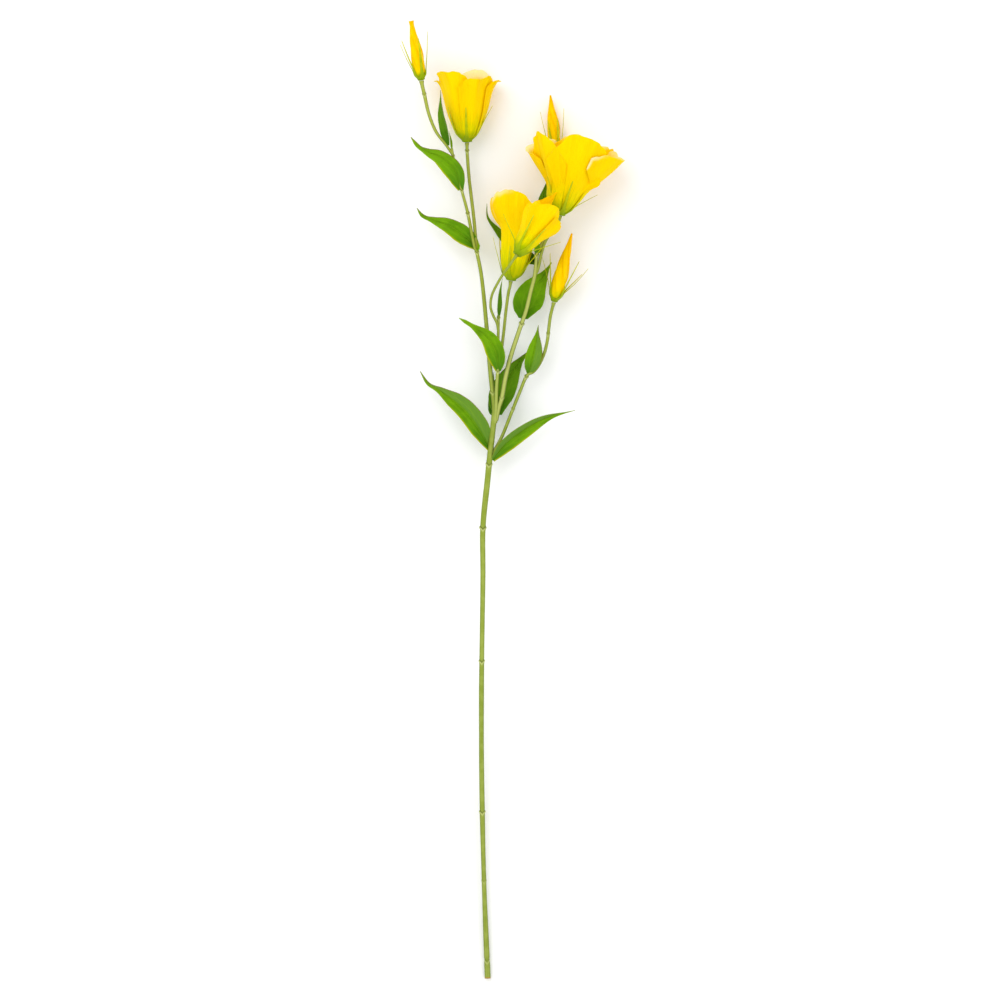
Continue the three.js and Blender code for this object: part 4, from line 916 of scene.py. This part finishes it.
leafShapes = {
    "leaf_fork_left": {
        "rib": [(-18.6, 43.5, 20.8), (-26.2, 57, 24.5), (-40.6, 76.6, 28), (-60, 92.6, 21.5),
                (-71.6, 99.6, 16), (-78.7, 110.7, 12)],
        "half": 10.6, "roll": (25, 10), "fold": 26, "outline": hookOutline,
        "pale": 1, "yellow": -1, "brown": 1},
    "leaf_fork_right": {
        "rib": [(-16.6, 34.5, 22), (-5.6, 47.6, 24), (11.8, 61, 23), (31.4, 71.2, 17), (54.8, 76.9, 10)],
        "half": 8.2, "roll": (30, 30), "fold": 26, "pale": -1, "yellow": 1},
    "leaf_middle_front": {
        "rib": [(-11.2, 111, 30), (-12.6, 124, 34), (-19.2, 138, 35), (-32, 148.2, 31), (-45.2, 156.3, 25)],
        "half": 8.8, "roll": (-15, 0), "fold": 20, "outline": dripOutline, "yellow": -1},
    "leaf_crotch_right": {
        "rib": [(-12, 73, 22.4), (-10.6, 87, 16.5), (-3.6, 103, 13.5), (5.4, 117.5, 11.5),
                (17.4, 130.5, 10)],
        "half": 11.6, "roll": (5, 20), "fold": 18, "brown": -1, "shade": 0.35},
    "leaf_crotch_left": {
        "rib": [(-15, 71.6, 22.6), (-15.6, 77.4, 13.6), (-15.6, 91, 8.6), (-15.4, 110, 7.5)],
        "half": 4.8, "roll": (-12, -8), "shade": 0.7},
    "leaf_side": {
        "rib": [(15, 109.2, 21.6), (17.8, 120, 25.5), (20.8, 134, 25), (23.2, 150.4, 20)],
        "half": 8, "roll": (18, 5), "fold": 22, "pale": 1, "brown": 1},
    "leaf_right_branch": {
        "rib": [(10, 155.4, 29.4), (13, 167, 22), (19, 180, 18.5), (27, 192, 17), (34.6, 204.4, 14)],
        "half": 13.4, "roll": (-8, 5), "fold": 13},
    "leaf_left_lower": {
        "rib": [(-28.8, 216.2, 23), (-39.6, 226, 25), (-53.4, 235.4, 28), (-66, 240.2, 23.6),
                (-76, 244.2, 18.5), (-81.5, 251, 16)],
        "half": 8.8, "roll": (10, -20), "outline": dripOutline, "yellow": -1, "brown": 1},
    "leaf_left_upper": {
        "rib": [(-43.2, 266.5, 30.4), (-48.4, 282.4, 34.5), (-60.2, 294, 34), (-71, 298.6, 30),
                (-79.6, 303.6, 25), (-86.7, 312, 22)],
        "half": 9.4, "roll": (-22, -15), "outline": dripOutline, "yellow": -1, "brown": 1},
    "leaf_left_narrow": {
        "rib": [(-54.2, 304.5, 34.4), (-55.6, 312.3, 36), (-57.4, 321.5, 37), (-59.9, 333, 36),
                (-61.2, 352, 30)],
        "half": 5.6, "roll": (-40, -55), "brown": 1, "shade": 0.45},
    "leaf_middle_narrow": {
        "rib": [(-11.2, 157, 32), (-11.6, 165, 35), (-10.6, 177, 39), (-7.4, 190, 43)],
        "half": 4.2, "roll": (60, 66), "shade": 0.5},
    "leaf_behind_left": {
        "rib": [(20.9, 203, 29.6), (17.4, 206.4, 14.4), (8.6, 212.4, 6.4), (-2, 221, 4.8), (-12, 232, 5.4),
                (-20.3, 243, 8.6), (-21.2, 255, 13)],
        "half": 6, "roll": (0, 10), "fold": 16, "shade": 0.5},
    "leaf_behind_right": {
        "rib": [(31, 234, 17.4), (28.4, 243, 11.6), (27.4, 256, 8.4), (29.4, 268, 8.6), (32.5, 279, 11)],
        "half": 6, "roll": (-24, -20), "fold": 20, "shade": 0.5},
    "bract_right_node": {
        "rib": [(21.9, 211.5, 31.6), (22.6, 217, 35.4), (23.6, 223.5, 37)],
        "half": 3.2, "roll": (0, 0)},
    "bract_left_node": {
        "rib": [(-29.4, 213.6, 27.4), (-28.4, 218, 28.4), (-29, 223.5, 28.2)],
        "half": 1.3, "roll": (10, 10)},
    "bract_left_top": {
        "rib": [(-51.2, 301, 33.4), (-52, 309, 36.2), (-54, 316.8, 37.8)],
        "half": 1.1, "roll": (-10, -10)},
}

plainLeaf = {"fold": 24, "outline": plainOutline, "pale": 0, "yellow": 0, "brown": 0, "shade": 0}
leafForm = {"rows": 90, "columns": 40, "thickness": 0.5, "marginThickness": 0.22, "marginWave": 0.35,
            "veinSink": 0.28, "sideVeins": 7, "veinRise": 2.2, "waveLength": 7, "puff": 0.3,
            "smallHalf": 4, "smallGrid": (30, 16), "outlineBlur": 9}


def turnedAbout(vector, axis, angle):
    # Rodrigues' turn, row by row
    cosine, sine = np.cos(angle)[:, None], np.sin(angle)[:, None]
    along = (vector * axis).sum(1, keepdims=True)
    return vector * cosine + np.cross(axis, vector) * sine + axis * along * (1 - cosine)


def makeLeaf(name, shape, draw):
    form = leafForm
    shape = plainLeaf | shape
    half = shape["half"]
    rows, columns = form["smallGrid"] if half < form["smallHalf"] else (form["rows"], form["columns"])
    line, length = evenRoute(shape["rib"], rows + 1)
    along = np.linspace(0, 1, rows + 1)
    tangent = directions(line)
    side = unit(np.cross(tangent, [0, 0, 1]))
    side = turnedAbout(side, tangent, np.radians(mixed(*shape["roll"], along)))
    face = np.cross(side, tangent)
    outline = np.interp(along, np.linspace(0, 1, len(shape["outline"])), shape["outline"])
    kernel = np.hanning(form["outlineBlur"])
    outline = np.convolve(np.pad(outline, len(kernel) // 2, mode="edge"), kernel / kernel.sum(), "valid")
    outline, along = outline[:, None], along[:, None]
    across = np.linspace(-1, 1, columns + 1)[None, :]
    reach = half * outline
    fold = math.radians(shape["fold"])
    wide = np.abs(across)
    # side veins leave the rib low and run up towards the tip, as on a leaf with long veins
    veinPlace = along * form["sideVeins"] - wide ** 0.7 * form["veinRise"]
    sideVein = bell(veinPlace % 1 - 0.5, 0.07) * smooth(wide / 0.15) * smooth((1 - wide) / 0.25)
    longVein = bell(wide - 0.42 * np.sin(np.pi * along) ** 0.5, 0.045)
    longVein = longVein * smooth(along / 0.1) * smooth((0.9 - along) / 0.2)
    midrib = bell(across * reach, 0.5)
    vein = np.clip(0.5 * sideVein + 0.7 * longVein, 0, 1) * min(reach.max() / 8, 1)
    lift = wide * reach * math.sin(fold) - form["veinSink"] * (vein + 1.2 * midrib)
    lift = lift + form["puff"] * np.sin(np.pi * np.clip(wide * 2, 0, 1)) * min(half / 10, 1)
    wave = np.sin(along * length / form["waveLength"] + draw.uniform(0, 6) + 2 * np.sign(across))
    lift = lift + form["marginWave"] * wave * wide ** 3 * outline * min(half / 6, 1)
    middle = (line[:, None] + side[:, None] * (across * reach * math.cos(fold))[..., None]
              + face[:, None] * lift[..., None])
    edge = (1 - wide) * reach
    yellow = smooth(across * shape["yellow"] * 4) * smooth((0.75 - along) / 0.4)
    margin = bell(edge, 0.4 + 0.5 * yellow)
    masks = {
        "along": along, "vein": np.clip(0.6 * vein + midrib, 0, 1),
        "margin": margin * mixed(0.3, 1, yellow),
        "brown": 0.9 * margin * (across * shape["brown"] > 0) * smooth((along - 0.1) / 0.3),
        "pale": smooth(across * shape["pale"] * 4), "shade": shape["shade"],
    }
    thickness = mixed(form["marginThickness"], form["thickness"], smooth(edge / 1.2))
    piece = blade(name.replace("_", "") + "Blade", middle, thickness, masks, leafSkin)
    settle(piece, name)


draw = random.Random(5)
for name, shape in leafShapes.items():
    makeLeaf(name, shape, draw)
print("leaves made")


# The table, the light and the camera. A light is its place, the size of its side, and its power.
stageLook = {"floorSize": 6.0, "floorColor": (0.98, 0.98, 0.98, 1), "skyStrength": 0.92,
             "lights": {"key": ((-1.2, 1.4, 2.6), 2.2, 30), "fill": ((1.8, -0.6, 2.2), 2.6, 12)},
             "lightsAim": (0, 0.05, 0)}
cameraLook = {"lens": 400.0, "sensor": 36.0, "pixels": 1000, "pixelSize": 0.86,
              "middle": (-11.5, -0.25), "aimHeight": 25.0}


def makeFloor():
    half = stageLook["floorSize"] / 2
    corners = [(-half, -half, 0), (half, -half, 0), (half, half, 0), (-half, half, 0)]
    mesh = bpy.data.meshes.new("tableTop")
    mesh.from_pydata(corners, [], [(0, 1, 2, 3)])
    mesh.materials.append(newMaterial("table top", {
        "Base Color": stageLook["floorColor"], "Roughness": 0.9, "Specular IOR Level": 0.1})[0])
    addObject("tableTop", mesh)


def areaLight(name, place, size, power):
    light = bpy.data.lights.new(name, "AREA")
    light.shape, light.size, light.energy = "SQUARE", size, power
    made = addObject(name, light)
    made.location = place
    aim = Vector(stageLook["lightsAim"]) - Vector(place)
    made.rotation_euler = aim.to_track_quat("-Z", "Y").to_euler()


def makeCamera():
    # from straight above, with the photograph's frame; middle is that of the frame, in its pixels
    camera = bpy.data.cameras.new("overhead")
    camera.lens, camera.sensor_width = cameraLook["lens"], cameraLook["sensor"]
    pixel = cameraLook["pixelSize"] * millimetre
    distance = cameraLook["pixels"] * pixel * camera.lens / camera.sensor_width
    camera.clip_end = distance * 4
    across, up = cameraLook["middle"]
    made = addObject("overhead", camera)
    made.location = (across * pixel, up * pixel, cameraLook["aimHeight"] * millimetre + distance)
    bpy.context.scene.camera = made


makeFloor()
for name, light in stageLook["lights"].items():
    areaLight(name, *light)
world = bpy.data.worlds.new("pale room")
bpy.context.scene.world = world
world.use_nodes = True
sky = world.node_tree.nodes["Background"].inputs
sky["Color"].default_value = white
sky["Strength"].default_value = stageLook["skyStrength"]
makeCamera()
bpy.context.scene.view_settings.view_transform = "Standard"
print("stage made")
